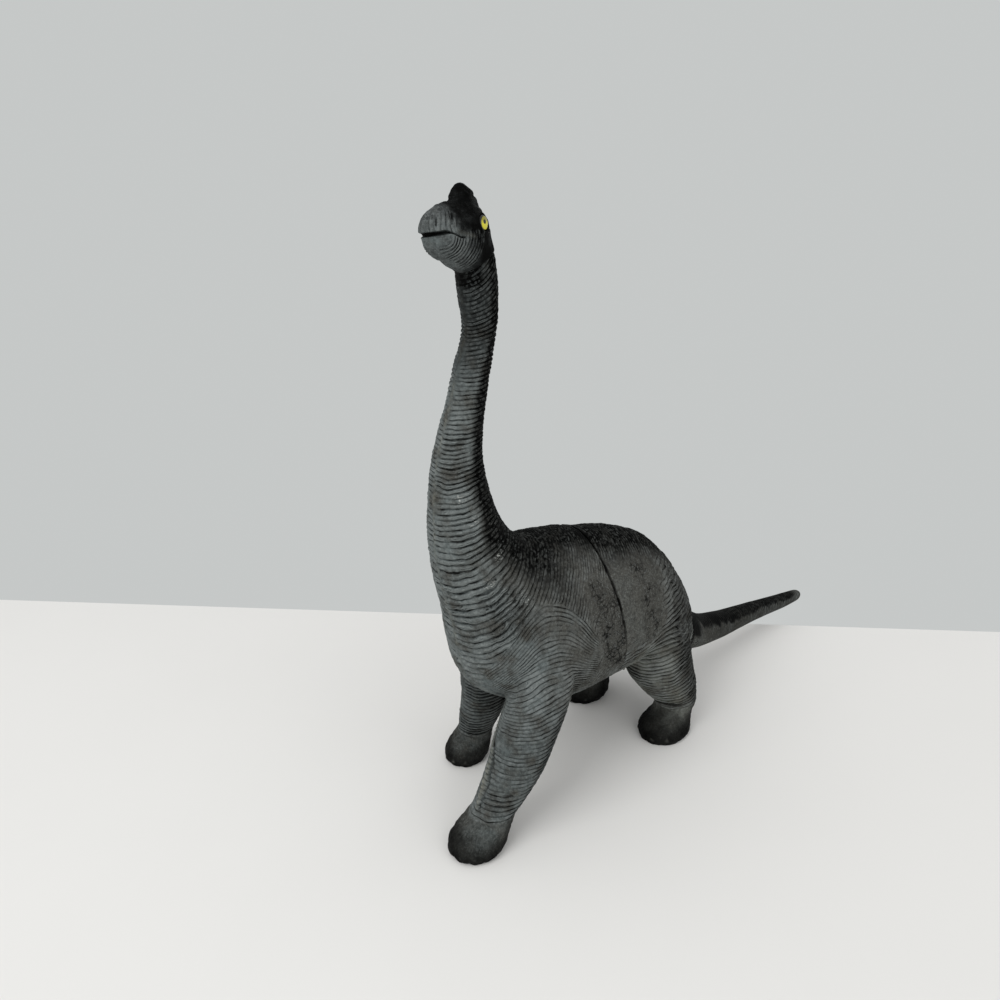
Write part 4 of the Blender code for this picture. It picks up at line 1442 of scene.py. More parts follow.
    def front_ribs(self, found: Survey) -> Array:
        """Level ribs of the neck and chest, and arched ribs over the shoulders and down the forelegs.

        Args:
            found: The survey to fill in.

        Returns:
            How far each point belongs to a shoulder or a foreleg, from 0 to 1.
        """
        x, y, z = found.points.T
        marks, side, across = self.front, np.abs(x), found.across
        mould_side = np.where(x < 0, 0.5, 0.0)
        climb = self.throat_climb * (y - self.throat_middle) / self.neck_pitch * marks.throat_ribs(z)
        found.fold = found.rib + climb + mould_side
        inwards = np.maximum(self.arch_aside - side, 0)
        back = y - self.arch_middle - self.wrap_share * inwards * marks.arch_wrap(z)
        bend = marks.arch_bend(z) * np.where(back < 0, self.arch_bend_front, self.arch_bend_rear)
        arch = z + bend * back**2 - self.arch_foot
        found.band = two_pitches(arch, self.leg_pitch, self.arch_pitch) + mould_side
        found.band += layered(found.points, ARCH_WANDER)

        level = arch + self.arch_foot + 0.001 * found.misty
        shoulder = ease(self.arch_top + 0.0016, self.arch_top - 0.0018, level)
        shoulder = shoulder * marks.shoulder_front(y) * marks.shoulder_rear(y) * marks.shoulder_inner(side)
        limb = np.maximum(shoulder, marks.leg_top(z))
        scaly = marks.leather_start(found.behind + 0.0012 * found.misty) * marks.leather_low(across)
        scaly = scaly * marks.leather_high(across) * (1 - limb)
        seam = marks.seam_width(side) * marks.seam_share(across) * (1 - limb)
        crossed = marks.rib_crossing(limb)
        found.fold_depth = (1 - crossed) * found.patchy * found.room * (1 - 0.80 * scaly) * (1 - 0.55 * seam)
        found.fold_depth *= rib_luck(found.fold, 51) * (1 + 0.25 * marks.neck_ribs(z))
        found.band_depth = crossed * found.patchy * rib_luck(found.band, 52)
        found.band_depth = found.band_depth * (0.58 + 0.42 * marks.shin_ribs(z))
        ends = bump(self.rib_end, self.rib_end_width, side) * groove(found.fold) * seam * marks.rib_ends(z)
        found.pit = ends * (0.5 + 0.5 * mottle(found.points, 0.003, 13))
        found.scaly = scaly
        return limb

    def front_relief(self, found: Survey) -> None:
        """Mould flash and low swellings of the front casting."""
        ridge = self.midline(found)
        found.flash = ridge * 0.35
        found.swell = 0.00016 * ridge + 0.00018 * found.scaly * mottle(found.points, 0.0019, 9)
        found.swell += 0.00010 * mottle(found.points, 0.007, 10)
        folds = 0.00030 * mottle(found.points, 0.0030, 14) * self.front.back_share(found.across)
        found.swell += folds * self.front.back_level(found.points[:, 2])

    def front_paint(self, found: Survey, limb: Array) -> None:
        """Black airbrush and blue-grey spray of the front casting around its legs, painted shade under the
        throat rim, round the armpits and on the far foreleg, and a darker near foreleg.
        """
        x, y, z = found.points.T
        marks, side, across, misty = self.front, np.abs(x), found.across, found.misty
        neck = marks.neck(z)
        nape = marks.nape(across + 0.07 * misty + 0.06 * marks.nape_widening(z))
        saddle = marks.saddle_width(side + 0.0014 * misty) * marks.saddle_share(across)
        withers = marks.withers_share(across + 0.08 * misty) * marks.withers_front(y)
        # Painted shadow on the neck just below the head's throat rim.
        throat = marks.throat_shadow_level(z) * marks.throat_shadow_share(across)
        back = nape * neck + np.maximum(saddle, withers) * (1 - neck)
        found.black = np.maximum(back, throat) * (1 - limb)
        # Painted shade round the armpit, with deeper folds there.
        armpit_shade = np.linalg.norm(np.stack([side, y, z], axis=1) - np.array(self.armpit_shade_centre), axis=1)
        armpit_shade = bump(0.0, self.armpit_shade_reach, armpit_shade + 0.0012 * misty)
        # Painted shade on the far foreleg: darker, with deeper creases that hold more of the dark crease
        # colour.
        far_leg_shade = marks.far_leg_shade(x) * marks.far_leg_shade_top(z)
        found.lay("black", 0.76 * marks.dark_neck(z + 0.002 * misty))
        found.lay("black", 0.40 * armpit_shade)
        found.lay("black", 0.38 * far_leg_shade)
        found.lay("black", 0.20 * (marks.near_leg(x) * marks.near_leg_top(z)))
        found.fold_depth *= 1 + 0.6 * armpit_shade
        found.band_depth *= 1 + 0.50 * far_leg_shade
        spray = marks.spray_share(across + 0.06 * misty) * marks.spray_chest(y + 0.002 * misty)
        spray = np.maximum(spray, limb * (0.32 + 0.5 * misty))
        found.spray = np.clip(spray, 0, 1) * (1 - found.scaly)
        found.scuff(SCUFFS, self.scuff_reach)

    def midline(self, found: Survey) -> Array:
        """Height share of the mould flash that runs down the middle of the front and the belly."""
        ragged = np.clip(0.55 + 0.75 * mottle(found.points, 0.0016, 7), 0, 1)
        ridge = bump(0.0, self.flash_width, found.points[:, 0]) * self.front.seam_share(found.across)
        return ridge * ragged * ease(self.belly_height - 0.001, self.belly_height + 0.003, found.points[:, 2])

    def rear_ribs(self, found: Survey) -> Array:
        """Sweeping ribs of the rump and the hind legs, and fine creases along the back.

        Args:
            found: The survey to fill in.

        Returns:
            How far each point belongs to the smooth flank, from 0 to 1.
        """
        x, y, z = found.points.T
        marks, points = self.rear, found.points
        dorsal = marks.dorsal(found.across)
        along = y - self.sweep_place + self.sweep_shift * marks.sweep_low(z)
        rise = z - self.sweep_level
        spread = np.hypot(along, rise)
        down = np.clip(-rise / spread, 0, 1)
        start = self.sweep_start + self.sweep_delay * down**4
        rim = ease(start - 0.0030, start + 0.0080, spread + 0.0022 * found.misty) * (1 - dorsal)
        inwards = np.maximum(self.trunk_width / 2 - np.abs(x), 0)
        round_way = y + self.wrap_share * inwards * marks.haunch_wrap(y)
        level = z - self.rump_climb * (round_way - self.sweep_place) - self.rump_foot
        found.fold = two_pitches(level, self.hock_pitch, self.rump_pitch)
        found.fold += np.where(x < 0, 0.4, 0.0) + layered(points, RUMP_WANDER)
        found.fold_depth = found.patchy * rib_luck(found.fold, 53) * np.maximum(rim, 0.05)
        thigh = bump(self.thigh_level, self.thigh_reach, z) * marks.thigh_front(y)
        found.fold_depth *= 1.25 + 0.35 * marks.rump_ribs(y) + 0.5 * thigh + 0.45 * marks.thigh_ribs(z)
        found.band = found.rib
        found.band_depth = 0.75 * found.patchy * dorsal * rib_luck(found.band, 51)
        smooth_skin = marks.smooth_end(found.behind) * (1 - dorsal)
        found.scaly = 0.85 * (1 - rim) * (1 - 0.75 * smooth_skin) * (1 - dorsal)
        return smooth_skin

    def rear_relief(self, found: Survey) -> None:
        """Mould flash and low swellings of the rear casting."""
        ridge = self.midline(found)
        found.flash = 0.8 * ridge
        found.swell = 0.00014 * ridge + 0.00011 * mottle(found.points, 0.006, 24)
        found.swell += 0.00018 * found.scaly * mottle(found.points, 0.0021, 9)
        found.swell += 0.00030 * mottle(found.points, 0.0030, 25) * self.rear.back_share(found.across)

    def rear_paint(self, found: Survey, smooth_skin: Array) -> None:
        """Black airbrush of the rump and blue-grey spray of the smooth flank."""
        x, y, z = found.points.T
        marks, misty = self.rear, found.misty
        saddle = marks.saddle_width(np.abs(x) + 0.0014 * misty) * marks.saddle_share(found.across)
        found.black = saddle * (1 - 0.30 * marks.rump_end(y + 0.002 * misty))
        found.lay("black", 0.60 * (marks.haunch_rear(y + 0.003 * misty) * marks.haunch_low(z)))
        found.spray = 0.15 * smooth_skin

    def waist_groove_and_shade(self, found: Survey) -> None:
        """Soft dark edges of the waist joint: a shallow groove with painted shade in it, deepest on the upper
        flank.
        """
        edge = bump(0.0, self.waist_edge_width, found.behind) * ease(0.40, 0.54, found.across)
        edge *= 1 - 0.4 * ease(0.80, 0.94, found.across)
        found.lay("pit", edge)
        found.swell -= self.waist_edge_depth * edge

    # The making.

    def skin(self) -> Object:
        """Wrap the trunk and the legs, fuse them into one soft skin and carve the sculpt into it."""
        forms = [Bench.wrap("trunk", self.run.rings(self.ring_sides))]
        for leg in self.legs:
            forms += [Bench.wrap("leg", leg.rings(self.leg_steps, self.leg_sides)), *leg.toes()]
        skin = Bench.join("skin", *forms)
        grain = self.grain
        Bench.soften(skin, grain, round(self.smoothing * (self.plain_grain / grain) ** 2))
        points = Bench.points(skin)
        behind = self.behind_waist(points)
        height = np.empty(len(points))
        for half, mine in ((Half.FRONT, behind < 0), (Half.REAR, behind >= 0)):
            height[mine] = self.survey(points[mine], half).height(self.crease_depth)
        Bench.carve(skin, height)
        carved = Bench.points(skin)
        for node, mine in (("front_body", behind < 0), ("rear_body", behind >= 0)):
            low, high = (corner[0] - self.origin.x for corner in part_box(node))
            carved[mine, 0] = np.clip(carved[mine, 0], low + self.thinning_room, high - self.thinning_room)
        Bench.shape(skin, carved)
        faces = len(skin.data.polygons) * 2
        wanted = self.faces_wanted
        log.info("skin of %d triangles, thinned to %d", faces, wanted)
        if faces > wanted:
            Bench.modify(skin, "DECIMATE", ratio=wanted / faces)
        return skin

    def core(self, name: str, inset: float, cuts: Sequence[tuple[Vector, Vector]]) -> Object:
        """The trunk's form drawn in by an inset and cut off at planes."""
        made = Bench.wrap(name, RingRun(self.rows(), self.core_steps).rings(self.core_sides, inset))
        for point, axis in cuts:
            Bench.slice_off(made, point, axis)
        return made

    def boots(self, half: Half) -> list[Object]:
        """The hollows of one casting's legs, down to the soles."""
        made = []
        for leg in self.legs:
            if leg.half is half:
                boot = Bench.wrap("boot", leg.rings(self.core_steps, self.boot_sides, self.wall))
                Bench.slice_off(boot, UP * self.sole, DOWN)
                made.append(boot)
        return made

    def front_casting(self, skin: Object) -> Object:
        """Hollow casting of the neck, chest and forelegs, open at the waist."""
        casting = Bench.copy(skin, "front_casting")
        seat = self.head_seat
        for point, axis in ((seat.middle, seat.axis), (self.waist, self.waist_axis), (Vector(), DOWN)):
            Bench.slice_off(casting, point, axis)
        hollow = self.core("hollow", self.wall, [(seat.middle - seat.axis * seat.lid, seat.axis),
                                                 (self.waist + self.waist_axis * OVERRUN, self.waist_axis)])
        Bench.combine(casting, [hollow, *self.boots(Half.FRONT), seat.hole()], "DIFFERENCE")
        return casting

    def rear_casting(self, skin: Object) -> Object:
        """Hollow casting of the rump and hind legs, with the spigot that fits in the front casting."""
        casting = Bench.copy(skin, "rear_casting")
        seat, waist, axis = self.tail_seat, self.waist, self.waist_axis
        gap = waist + axis * self.clearance
        for point, way in ((seat.middle, seat.axis), (gap, -axis), (Vector(), DOWN)):
            Bench.slice_off(casting, point, way)
        end, root = waist - axis * self.spigot_length, waist + axis * self.spigot_root
        spigot = self.core("spigot", self.wall + self.clearance, [(end, -axis), (root, axis)])
        bore = self.core("bore", 2 * self.wall + self.clearance,
                         [(end - axis * OVERRUN, -axis), (root + axis * OVERRUN, axis)])
        hollow = self.core("hollow", self.wall,
                           [(root, -axis), (seat.middle - seat.axis * seat.lid, seat.axis)])
        Bench.combine(casting, [spigot], "UNION")
        Bench.combine(casting, [bore, hollow, *self.boots(Half.REAR), seat.hole()], "DIFFERENCE")
        return casting

    def build(self) -> list[Object]:
        """Make and paint both castings.

        Returns:
            The front and the rear casting.
        """
        skin = self.skin()
        made = []
        for half, casting, node, slot in (
                (Half.FRONT, self.front_casting(skin), "front_body", Slot.CHEST),
                (Half.REAR, self.rear_casting(skin), "rear_body", Slot.RUMP)):
            self.survey(Bench.points(casting), half).store(casting)
            Bench.settle(casting, Matrix.Translation(self.origin))
            Bench.shade(casting)
            Bench.paint(casting, Vinyl(slot.value + "_painted").material())
            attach(casting, "body")
            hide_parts(node)
            log.info("%s: %d faces", casting.name, len(casting.data.polygons))
            made.append(casting)
        bpy.data.objects.remove(skin)
        return made


# Head and eyes.


HEAD_SHARES: Table = (
    (0.36, -0.155, -0.27, 0.39, 0.450), (0.45, -0.110, -0.24, 0.60, 0.478),
    (0.54, -0.045, -0.16, 0.80, 0.497), (0.62, 0.035, 0.00, 0.95, 0.486),
    (0.71, 0.065, 0.235, 1.00, 0.445), (0.80, 0.100, 0.51, 0.974, 0.400),
    (0.86, 0.160, 0.75, 0.900, 0.325), (0.90, 0.255, 0.895, 0.800, 0.235),
    (0.94, 0.400, 0.96, 0.660, 0.110),
)
CREST_SHARES: Table = (
    (-0.80, 1.15), (-0.10, 1.00), (0.25, 0.88), (0.52, 0.70), (0.77, 0.46), (0.94, 0.22), (1.00, 0.07),
)


@dataclass
class Eye:
    """A domed bead pressed into its socket."""

    side: Side
    radius: float = 0.0020
    dome: float = 0.0008
    depth: float = 0.0014
    lead: float = 0.0016
    level: float = 0.0086
    reach: float = 0.0062
    turn: float = math.radians(10)
    pupil_radius: float = 0.00058
    pupil_rise: float = 0.00030
    pupil_lead: float = 0.00030
    gap: float = 0.00008
    sides: int = 40
    dome_steps: int = 16

    def place(self) -> Matrix:
        """Where the bead sits on the upright head: its Z points out and a little back."""
        out = Vector((self.side.value * math.cos(self.turn), math.sin(self.turn), 0))
        middle = Vector((self.side.value * self.reach, -self.lead, self.level))
        return Matrix.Translation(middle) @ UP.rotation_difference(out).to_matrix().to_4x4()

    def distance(self, points: Array) -> Array:
        """How far each point lies from the line on which the bead looks out."""
        place = np.array(self.place())
        offset = points - place[:3, 3]
        out = offset @ place[:3, 2]
        return np.sqrt(np.maximum((offset**2).sum(axis=1) - out**2, 0))

    def socket(self) -> Object:
        """The round hole into which the bead is pressed."""
        radius = self.radius + self.gap
        profile = [(radius, -self.depth - self.gap), (radius, OVERRUN)]
        return Bench.turn("socket", profile, self.sides, self.place())

    def build(self, head_place: Matrix) -> Object:
        """Make and paint the bead.

        Args:
            head_place: Where the head sits.

        Returns:
            The bead.
        """
        profile = [(0.0, -self.depth), (self.radius * 0.5, -self.depth)]
        profile += [(self.radius, -self.depth), (self.radius, 0.0)]
        profile += [(self.radius * math.cos(a), self.dome * math.sin(a))
                    for a in np.linspace(0, math.pi / 2, self.dome_steps + 1)[1:]]
        bead = Bench.turn(f"{self.side.name.lower()}_eye_bead", profile, self.sides, Matrix())
        out = np.hypot(*Bench.points(bead)[:, :2].T)
        Bench.settle(bead, self.place())
        settled = Bench.points(bead)
        upward, ahead = settled[:, 2] - self.level, -(settled[:, 1] + self.lead)
        pupil = np.hypot(ahead - self.pupil_lead, upward - self.pupil_rise)
        Bench.store(bead, "eye_height", upward / self.radius)
        Bench.store(bead, "pupil", pupil / self.pupil_radius)
        Bench.store(bead, "eye_edge", out / self.radius)
        Bench.settle(bead, head_place)
        Bench.shade(bead, 40.0)
        Bench.paint(bead, EyeEnamel(f"{self.side.name.lower()}_eye_enamel").material())
        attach(bead, "head")
        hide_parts(f"{self.side.name.lower()}_eye")
        log.info("%s made", bead.name)
        return bead


@dataclass(frozen=True)
class HeadMarks:
    """Edges on the head, measured in metres from the middle of its seat or from what they follow."""

    jaw: Fade = Fade(0.0002, -0.0012)
    jowl_rear: Fade = Fade(0.0, 0.0025)
    jowl_top: Fade = Fade(0.0082, 0.0066)
    jowl_outer: Fade = Fade(0.0135, 0.0112)
    jowl_inner: Fade = Fade(0.0016, 0.0028)
    jowl_side: Fade = Fade(0.0012, 0.0030)
    jowl_front: Fade = Fade(-0.0040, -0.0005)
    jowl_chin: Fade = Fade(-0.0172, -0.0145)
    muzzle_rear: Fade = Fade(-0.0095, -0.0115)
    muzzle_top: Fade = Fade(0.0140, 0.0125)
    muzzle_side: Fade = Fade(0.0003, 0.0011)
    crest: Fade = Fade(-0.0004, 0.0010)
    crest_foot: Fade = Fade(-0.0085, -0.0065)
    nape_rear: Fade = Fade(0.0015, 0.0045)
    nape_low: Fade = Fade(0.0045, 0.0010)
    bony_rear: Fade = Fade(-0.0130, -0.0095)
    bony_top: Fade = Fade(0.0062, 0.0080)
    chin: Fade = Fade(-0.0120, -0.0165)
    dark_face: Fade = Fade(-0.0130, -0.0090)
    dark_face_low: Fade = Fade(0.0036, 0.0084)
    dark_nape: Fade = Fade(-0.0106, -0.0044)
    brow_low: Fade = Fade(0.0128, 0.0142)
    brow_front: Fade = Fade(-0.0150, -0.0110)
    spray_top: Fade = Fade(0.0125, 0.0070)
    spray_snout: Fade = Fade(-0.011, -0.015)


@dataclass
class Head:
    """Solid casting of the head, turned on its seat."""

    origin: Vector
    seat: Seat
    marks: HeadMarks = HeadMarks()
    grey: Colour = (0.30, 0.315, 0.315)
    length: float = 0.0183
    height: float = 0.0154
    width: float = 0.0138
    rim: float = 0.0004
    throat_thickness: float = 0.0119
    lean: float = math.radians(30)
    turn: float = math.radians(15)
    crest_rise: float = 0.0040
    crest_length: float = 0.0092
    crest_width: float = 0.0064
    crest_lead: float = 0.0015
    mouth_length: float = 0.0085
    mouth_level: float = 0.0079
    mouth_droop: float = 0.0020
    mouth_gape: float = 0.00085
    mouth_depth: float = 0.0011
    lip_length: float = 0.0042
    jowl_lead: float = 0.0052
    jowl_level: float = 0.0066
    jowl_pitch: float = 0.00092
    muzzle_lead: float = 0.0085
    muzzle_pitch: float = 0.165
    nostrils: Table = ((0.0008, -0.0166, 0.0121), (0.0021, -0.0128, 0.0136))
    nostril_width: float = 0.00055
    crease_depth: float = 0.00022
    grain: float = 0.00014
    quick_grain: float = 0.00025
    plain_grain: float = 0.00042
    smoothing: int = 3
    ring_steps: int = 5
    sides: int = 72
    crest_steps: int = 3
    crest_sides: int = 40

    def place(self) -> Matrix:
        """Where the upright head goes: turned about its seat's axis, on the seat."""
        return (Matrix.Translation(self.origin + self.seat.middle)
                @ Matrix.Rotation(self.turn, 4, self.seat.axis))

    def forms(self) -> list[Object]:
        """The skull with its jaw, and the crest."""
        rim = slanted_row((0, 0), self.throat_thickness / 2 + self.rim, self.lean)
        rows = [(-self.length * throat, self.height * throat_up, -self.length * crown, self.height * crown_up,
                 self.width * width, 0.0) for throat, throat_up, crown, crown_up, width in HEAD_SHARES]
        run = RingRun([moved_row(rim, self.seat.axis * -OVERRUN), rim, *rows], self.ring_steps)
        angle = 2 * np.pi * np.arange(self.crest_sides) / self.crest_sides
        crest = smooth_rows(np.array(CREST_SHARES), self.crest_steps)
        rings = np.stack([np.stack([self.crest_width / 2 * spread * np.cos(angle),
                                    self.crest_length / 2 * spread * np.sin(angle) - self.crest_lead,
                                    self.height + self.crest_rise * rise + 0 * angle], axis=1)
                          for rise, spread in crest])
        return [Bench.wrap("skull", run.rings(self.sides)), Bench.wrap("crest", rings)]

    def survey(self, points: Array, eyes: Sequence[Eye]) -> Survey:
        """Work out what the sculpt does at each point of the upright head.

        Args:
            points: Places with the seat's middle at the origin.
            eyes: The two eyes.

        Returns:
            The sculpt's survey of the points.
        """
        x, y, z = points.T
        marks = self.marks
        found = Survey.blank(np.stack([np.abs(x), y, z], axis=1))
        found.misty = layered(points, HEAD_MIST)
        found.patchy = 0.75 + 0.35 * mottle(points, 0.002, 37)
        slit, jaw = self.mouth(y, z)
        jowl = self.jowl_ribs(found, points, jaw)
        muzzle = self.muzzle_ribs(found, points, 1 - jaw, 1 - slit)
        rim, lid = self.eye_rims(found, points, eyes)
        nostril = self.nostril_pits(found.points)
        crest = marks.crest(z - self.height)
        crest_foot = bump(self.height + 0.0002, 0.00050, z) * marks.crest_foot(y)
        nape = marks.nape_rear(y) * marks.nape_low(z)
        bony = marks.bony_rear(y) * marks.bony_top(z)

        found.pit = np.clip(np.maximum.reduce([slit, nostril, 0.7 * crest_foot]), 0, 1)
        found.scaly = np.clip(0.55 * (1 - jaw) * (1 - muzzle) + 0.3 * bony, 0, 0.9) * (1 - lid) * (1 - jowl)
        found.swell = 0.00040 * rim + 0.00010 * mottle(points, 0.0022, 34) - 0.00050 * nape
        found.swell -= 0.00050 * jaw * marks.chin(y) + (self.mouth_depth - 0.0003) * slit
        found.swell += 0.00018 * bony * mottle(points, 0.0012, 39) - 0.00050 * nostril - 0.00028 * crest_foot
        found.swell += 0.00008 * mottle(points, 0.0009, 40) * (1 - slit) - 0.00010 * crest
        self.survey_paint(found, np.maximum.reduce([crest, lid, slit]))
        found.press(HEAD_STROKES)
        return found

    def mouth(self, y: Array, z: Array) -> tuple[Array, Array]:
        """The slit between the lips, which droops at its corner, and the jaw below it."""
        corner = self.mouth_length - self.length
        lip_end = corner - self.lip_length
        level = self.mouth_level - self.mouth_droop * ease(lip_end - 0.0005, corner + 0.0006, y)
        gape = 0.62 * self.mouth_gape * (0.34 + 0.66 * ease(lip_end + 0.0012, lip_end - 0.0010, y))
        slit = np.exp(-(np.abs(z - level) / gape) ** 4) * ease(corner + 0.0012, corner - 0.0002, y)
        return slit, self.marks.jaw(z - level)

    def jowl_ribs(self, found: Survey, points: Array, jaw: Array) -> Array:
        """Arched ribs around the mouth's corner, and how far each point belongs to them."""
        marks, (side, y, z) = self.marks, found.points.T
        past = y - (self.mouth_length - self.length)
        arc = np.hypot(past + self.jowl_lead, z - self.jowl_level)
        jowl = np.maximum(jaw, marks.jowl_rear(past) * marks.jowl_top(z))
        jowl = jowl * marks.jowl_outer(arc) * marks.jowl_inner(arc) * marks.jowl_side(side)
        jowl = jowl * marks.jowl_front(past + self.jowl_lead)
        found.fold = arc / self.jowl_pitch + layered(points, JOWL_WANDER)
        found.fold_depth = 1.80 * jowl * found.patchy * rib_luck(found.fold, 54) * marks.jowl_chin(y)
        return jowl

    def muzzle_ribs(self, found: Survey, points: Array, above: Array, closed: Array) -> Array:
        """Upright ribs round the snout, and how far each point belongs to them."""
        marks, (side, y, z) = self.marks, found.points.T
        muzzle = marks.muzzle_rear(y) * marks.muzzle_top(z) * above * marks.muzzle_side(side)
        found.band = np.arctan2(side, -(y + self.muzzle_lead)) / self.muzzle_pitch
        found.band += 0.30 * mottle(points, 0.0018, 32)
        found.band_depth = 0.52 * muzzle * found.patchy * rib_luck(found.band, 55) * closed
        return muzzle

    def eye_rims(self, found: Survey, points: Array, eyes: Sequence[Eye]) -> tuple[Array, Array]:
        """Raised rims round the eyes, and the dark skin around them."""
        rim, lid = np.zeros(len(points)), np.zeros(len(points))
        for eye in eyes:
            far = eye.distance(points)
            near = points[:, 0] * eye.side.value > 0
            rim = np.maximum(rim, near * bump(eye.radius + 0.00045, 0.00040, far))
            lid_edge = ease(eye.radius + 0.0022, eye.radius + 0.0010, far + 0.0003 * found.misty)
            lid = np.maximum(lid, near * lid_edge)
        return rim, lid

    def nostril_pits(self, points: Array) -> Array:
        """How far each point belongs to a nostril."""
        far = [np.linalg.norm(points - np.array(place), axis=1) for place in self.nostrils]
        return bump(0.0, self.nostril_width, np.minimum.reduce(far))

    def survey_paint(self, found: Survey, dark: Array) -> None:
        """Black airbrush round the eyes and down the nape, and blue-grey spray on the snout."""
        y, z = found.points[:, 1], found.points[:, 2]
        marks, misty = self.marks, found.misty
        face = 0.86 * marks.dark_face(y + 0.0014 * misty) * marks.dark_face_low(z)
        nape = 0.95 * marks.dark_nape(y + 0.0016 * misty)
        brow = 0.60 * marks.brow_low(z) * marks.brow_front(y + 0.001 * misty)
        found.black = np.maximum.reduce([dark, face, nape, brow])
        found.black = np.clip(found.black + 0.18 * misty * (found.black > 0.2), 0, 1)
        found.spray = 0.85 * marks.spray_top(z + 0.001 * misty) * (0.45 + 0.55 * marks.spray_snout(y))

    def build(self) -> Object:
        """Make and paint the head and its eyes.

        Returns:
            The head.
        """
        eyes = [Eye(Side.LEFT), Eye(Side.RIGHT)]
        head = Bench.join("head_casting", *self.forms())
        grain = self.grain
        Bench.soften(head, grain, round(self.smoothing * (self.plain_grain / grain) ** 2))
        Bench.carve(head, self.survey(Bench.points(head), eyes).height(self.crease_depth))
        self.seat.mount(head)
        Bench.combine(head, [eye.socket() for eye in eyes], "DIFFERENCE")
        self.survey(Bench.points(head), eyes).store(head)
        Bench.settle(head, self.place())
        Bench.shade(head)
        Bench.paint(head, Vinyl("head_vinyl_painted", grey=self.grey).material())
        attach(head, "head")
        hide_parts("head")
        log.info("%s: %d faces", head.name, len(head.data.polygons))
        for eye in eyes:
            eye.build(self.place())
        return head


# Tail.


TAIL_SHARES: Table = (
    (0.000, 0.000, 1.00, 1.0), (0.069, 0.110, 0.91, 1.6), (0.161, 0.210, 0.775, 1.7),
    (0.333, 0.210, 0.640, 1.0), (0.494, 0.155, 0.53, 0.7), (0.644, 0.110, 0.45, 0.7),
    (0.828, 0.070, 0.375, 0.8), (0.950, 0.025, 0.30, 0.7), (0.985, 0.008, 0.22, 0.6),
    (1.000, 0.000, 0.11, 0.6),
)


@dataclass(frozen=True)
class TailMarks:
    """Edges on the tail: shares of its length, heights in radii, and distances from its seat in metres."""

    ribs_start: Fade = Fade(0.0, 0.02)
    deep_ribs: Fade = Fade(0.30, 0.70)
    deep_upper: Fade = Fade(-0.2, 0.5)
    leather_end: Fade = Fade(0.30, 0.05)
    leather_low: Fade = Fade(0.2, -0.3)
    black_edge: Fade = Fade(-0.20, 0.20)
    black_end: Fade = Fade(0.97, 0.90)
    root_shade_end: Fade = Fade(0.0085, 0.0045)
    root_shade_upper: Fade = Fade(-0.15, 0.10)
    haze_start: Fade = Fade(0.0, 0.3)
    seat_gap_shade: Fade = Fade(0.0016, 0.0005)
    wear_end: Fade = Fade(0.25, 0.05)
    wear_low: Fade = Fade(0.0, -0.3)


@dataclass
class Tail:
    """Solid casting of the tail on its seat."""

    origin: Vector
    seat: Seat
    marks: TailMarks = TailMarks()
    length: float = 0.0870
    drop: float = 0.0195
    root_radius: float = 0.0086
    rib_pitch: float = 0.0013
    crease_depth: float = 0.00024
    grey: Colour = (0.25, 0.25, 0.235)
    black_runs: tuple[float, ...] = (0.0, 0.12, 0.35, 0.8)
    black_heights: tuple[float, ...] = (0.66, 0.52, 0.38, 0.48)
    sides: int = 96
    steps: int = 26

    def build(self) -> Object:
        """Make and paint the tail.

        Returns:
            The tail.
        """
        slope = math.atan2(self.drop, self.length)
        rows = [slanted_row((self.length * run, -self.drop * (run + sag)), self.root_radius * radius,
                            math.pi / 2 - slope * lean) for run, sag, radius, lean in TAIL_SHARES]
        rows = [moved_row(rows[0], self.seat.axis * -OVERRUN), *rows]
        tail = Bench.wrap("tail_casting", RingRun(rows, self.steps).rings(self.sides))
        Bench.carve(tail, self.survey(Bench.points(tail)).height(self.crease_depth))
        self.seat.mount(tail)
        self.survey(Bench.points(tail)).store(tail)
        Bench.settle(tail, Matrix.Translation(self.origin + self.seat.middle))
        Bench.shade(tail)
        Bench.paint(tail, Vinyl("tail_vinyl_painted", grey=self.grey).material())
        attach(tail, "tail")
        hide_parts("tail")
        log.info("%s: %d faces", tail.name, len(tail.data.polygons))
        return tail

    def survey(self, points: Array) -> Survey:
        """Work out what the sculpt does at each point of the tail.

        Args:
            points: Places with the seat's middle at the origin.

        Returns:
            The sculpt's survey of the points.
        """
        y, z = points[:, 1], points[:, 2]
        marks, shares = self.marks, np.array(TAIL_SHARES)
        found = Survey.blank(points)
        run = y / self.length
        middle = -self.drop * (run + np.interp(run, shares[:, 0], shares[:, 1]))
        up = (z - middle) / (self.root_radius * np.interp(run, shares[:, 0], shares[:, 2]))
        found.fold = (y - 0.20 * z) / self.rib_pitch
        found.fold += layered(points, TAIL_WANDER)
        found.patchy = 0.62 + 0.45 * mottle(points, 0.004, 43)
        depth = found.patchy * (0.45 + 0.75 * marks.deep_ribs(run) * marks.deep_upper(up))
        found.fold_depth = np.clip(depth, 0, 1.2) * rib_luck(found.fold, 56) * marks.ribs_start(run)
        found.scaly = 0.35 * marks.leather_end(run) * marks.leather_low(up)
        found.swell = 0.00009 * mottle(points, 0.005, 45)
        streaks = mottle(points * (1, 2.4, 0.6), 0.004, 46) + 0.5 * mottle(points, 0.0025, 47)
        edge = up - np.interp(run, self.black_runs, self.black_heights) + 0.20 * streaks
        found.black = marks.black_edge(edge) * marks.black_end(run)
        # Painted shade over the top of the tail's root, under the rump's rim.
        found.lay("black", marks.root_shade_end(y + 0.0012 * streaks) * marks.root_shade_upper(up))
        found.lay("black", 0.35 * marks.haze_start(run) * marks.black_end(run))
        # Painted shade in the gap at the tail's seat.
        found.lay("black", marks.seat_gap_shade(y))
        found.wear = 0.20 * marks.wear_end(run) * marks.wear_low(up)
        return found


# Studio.


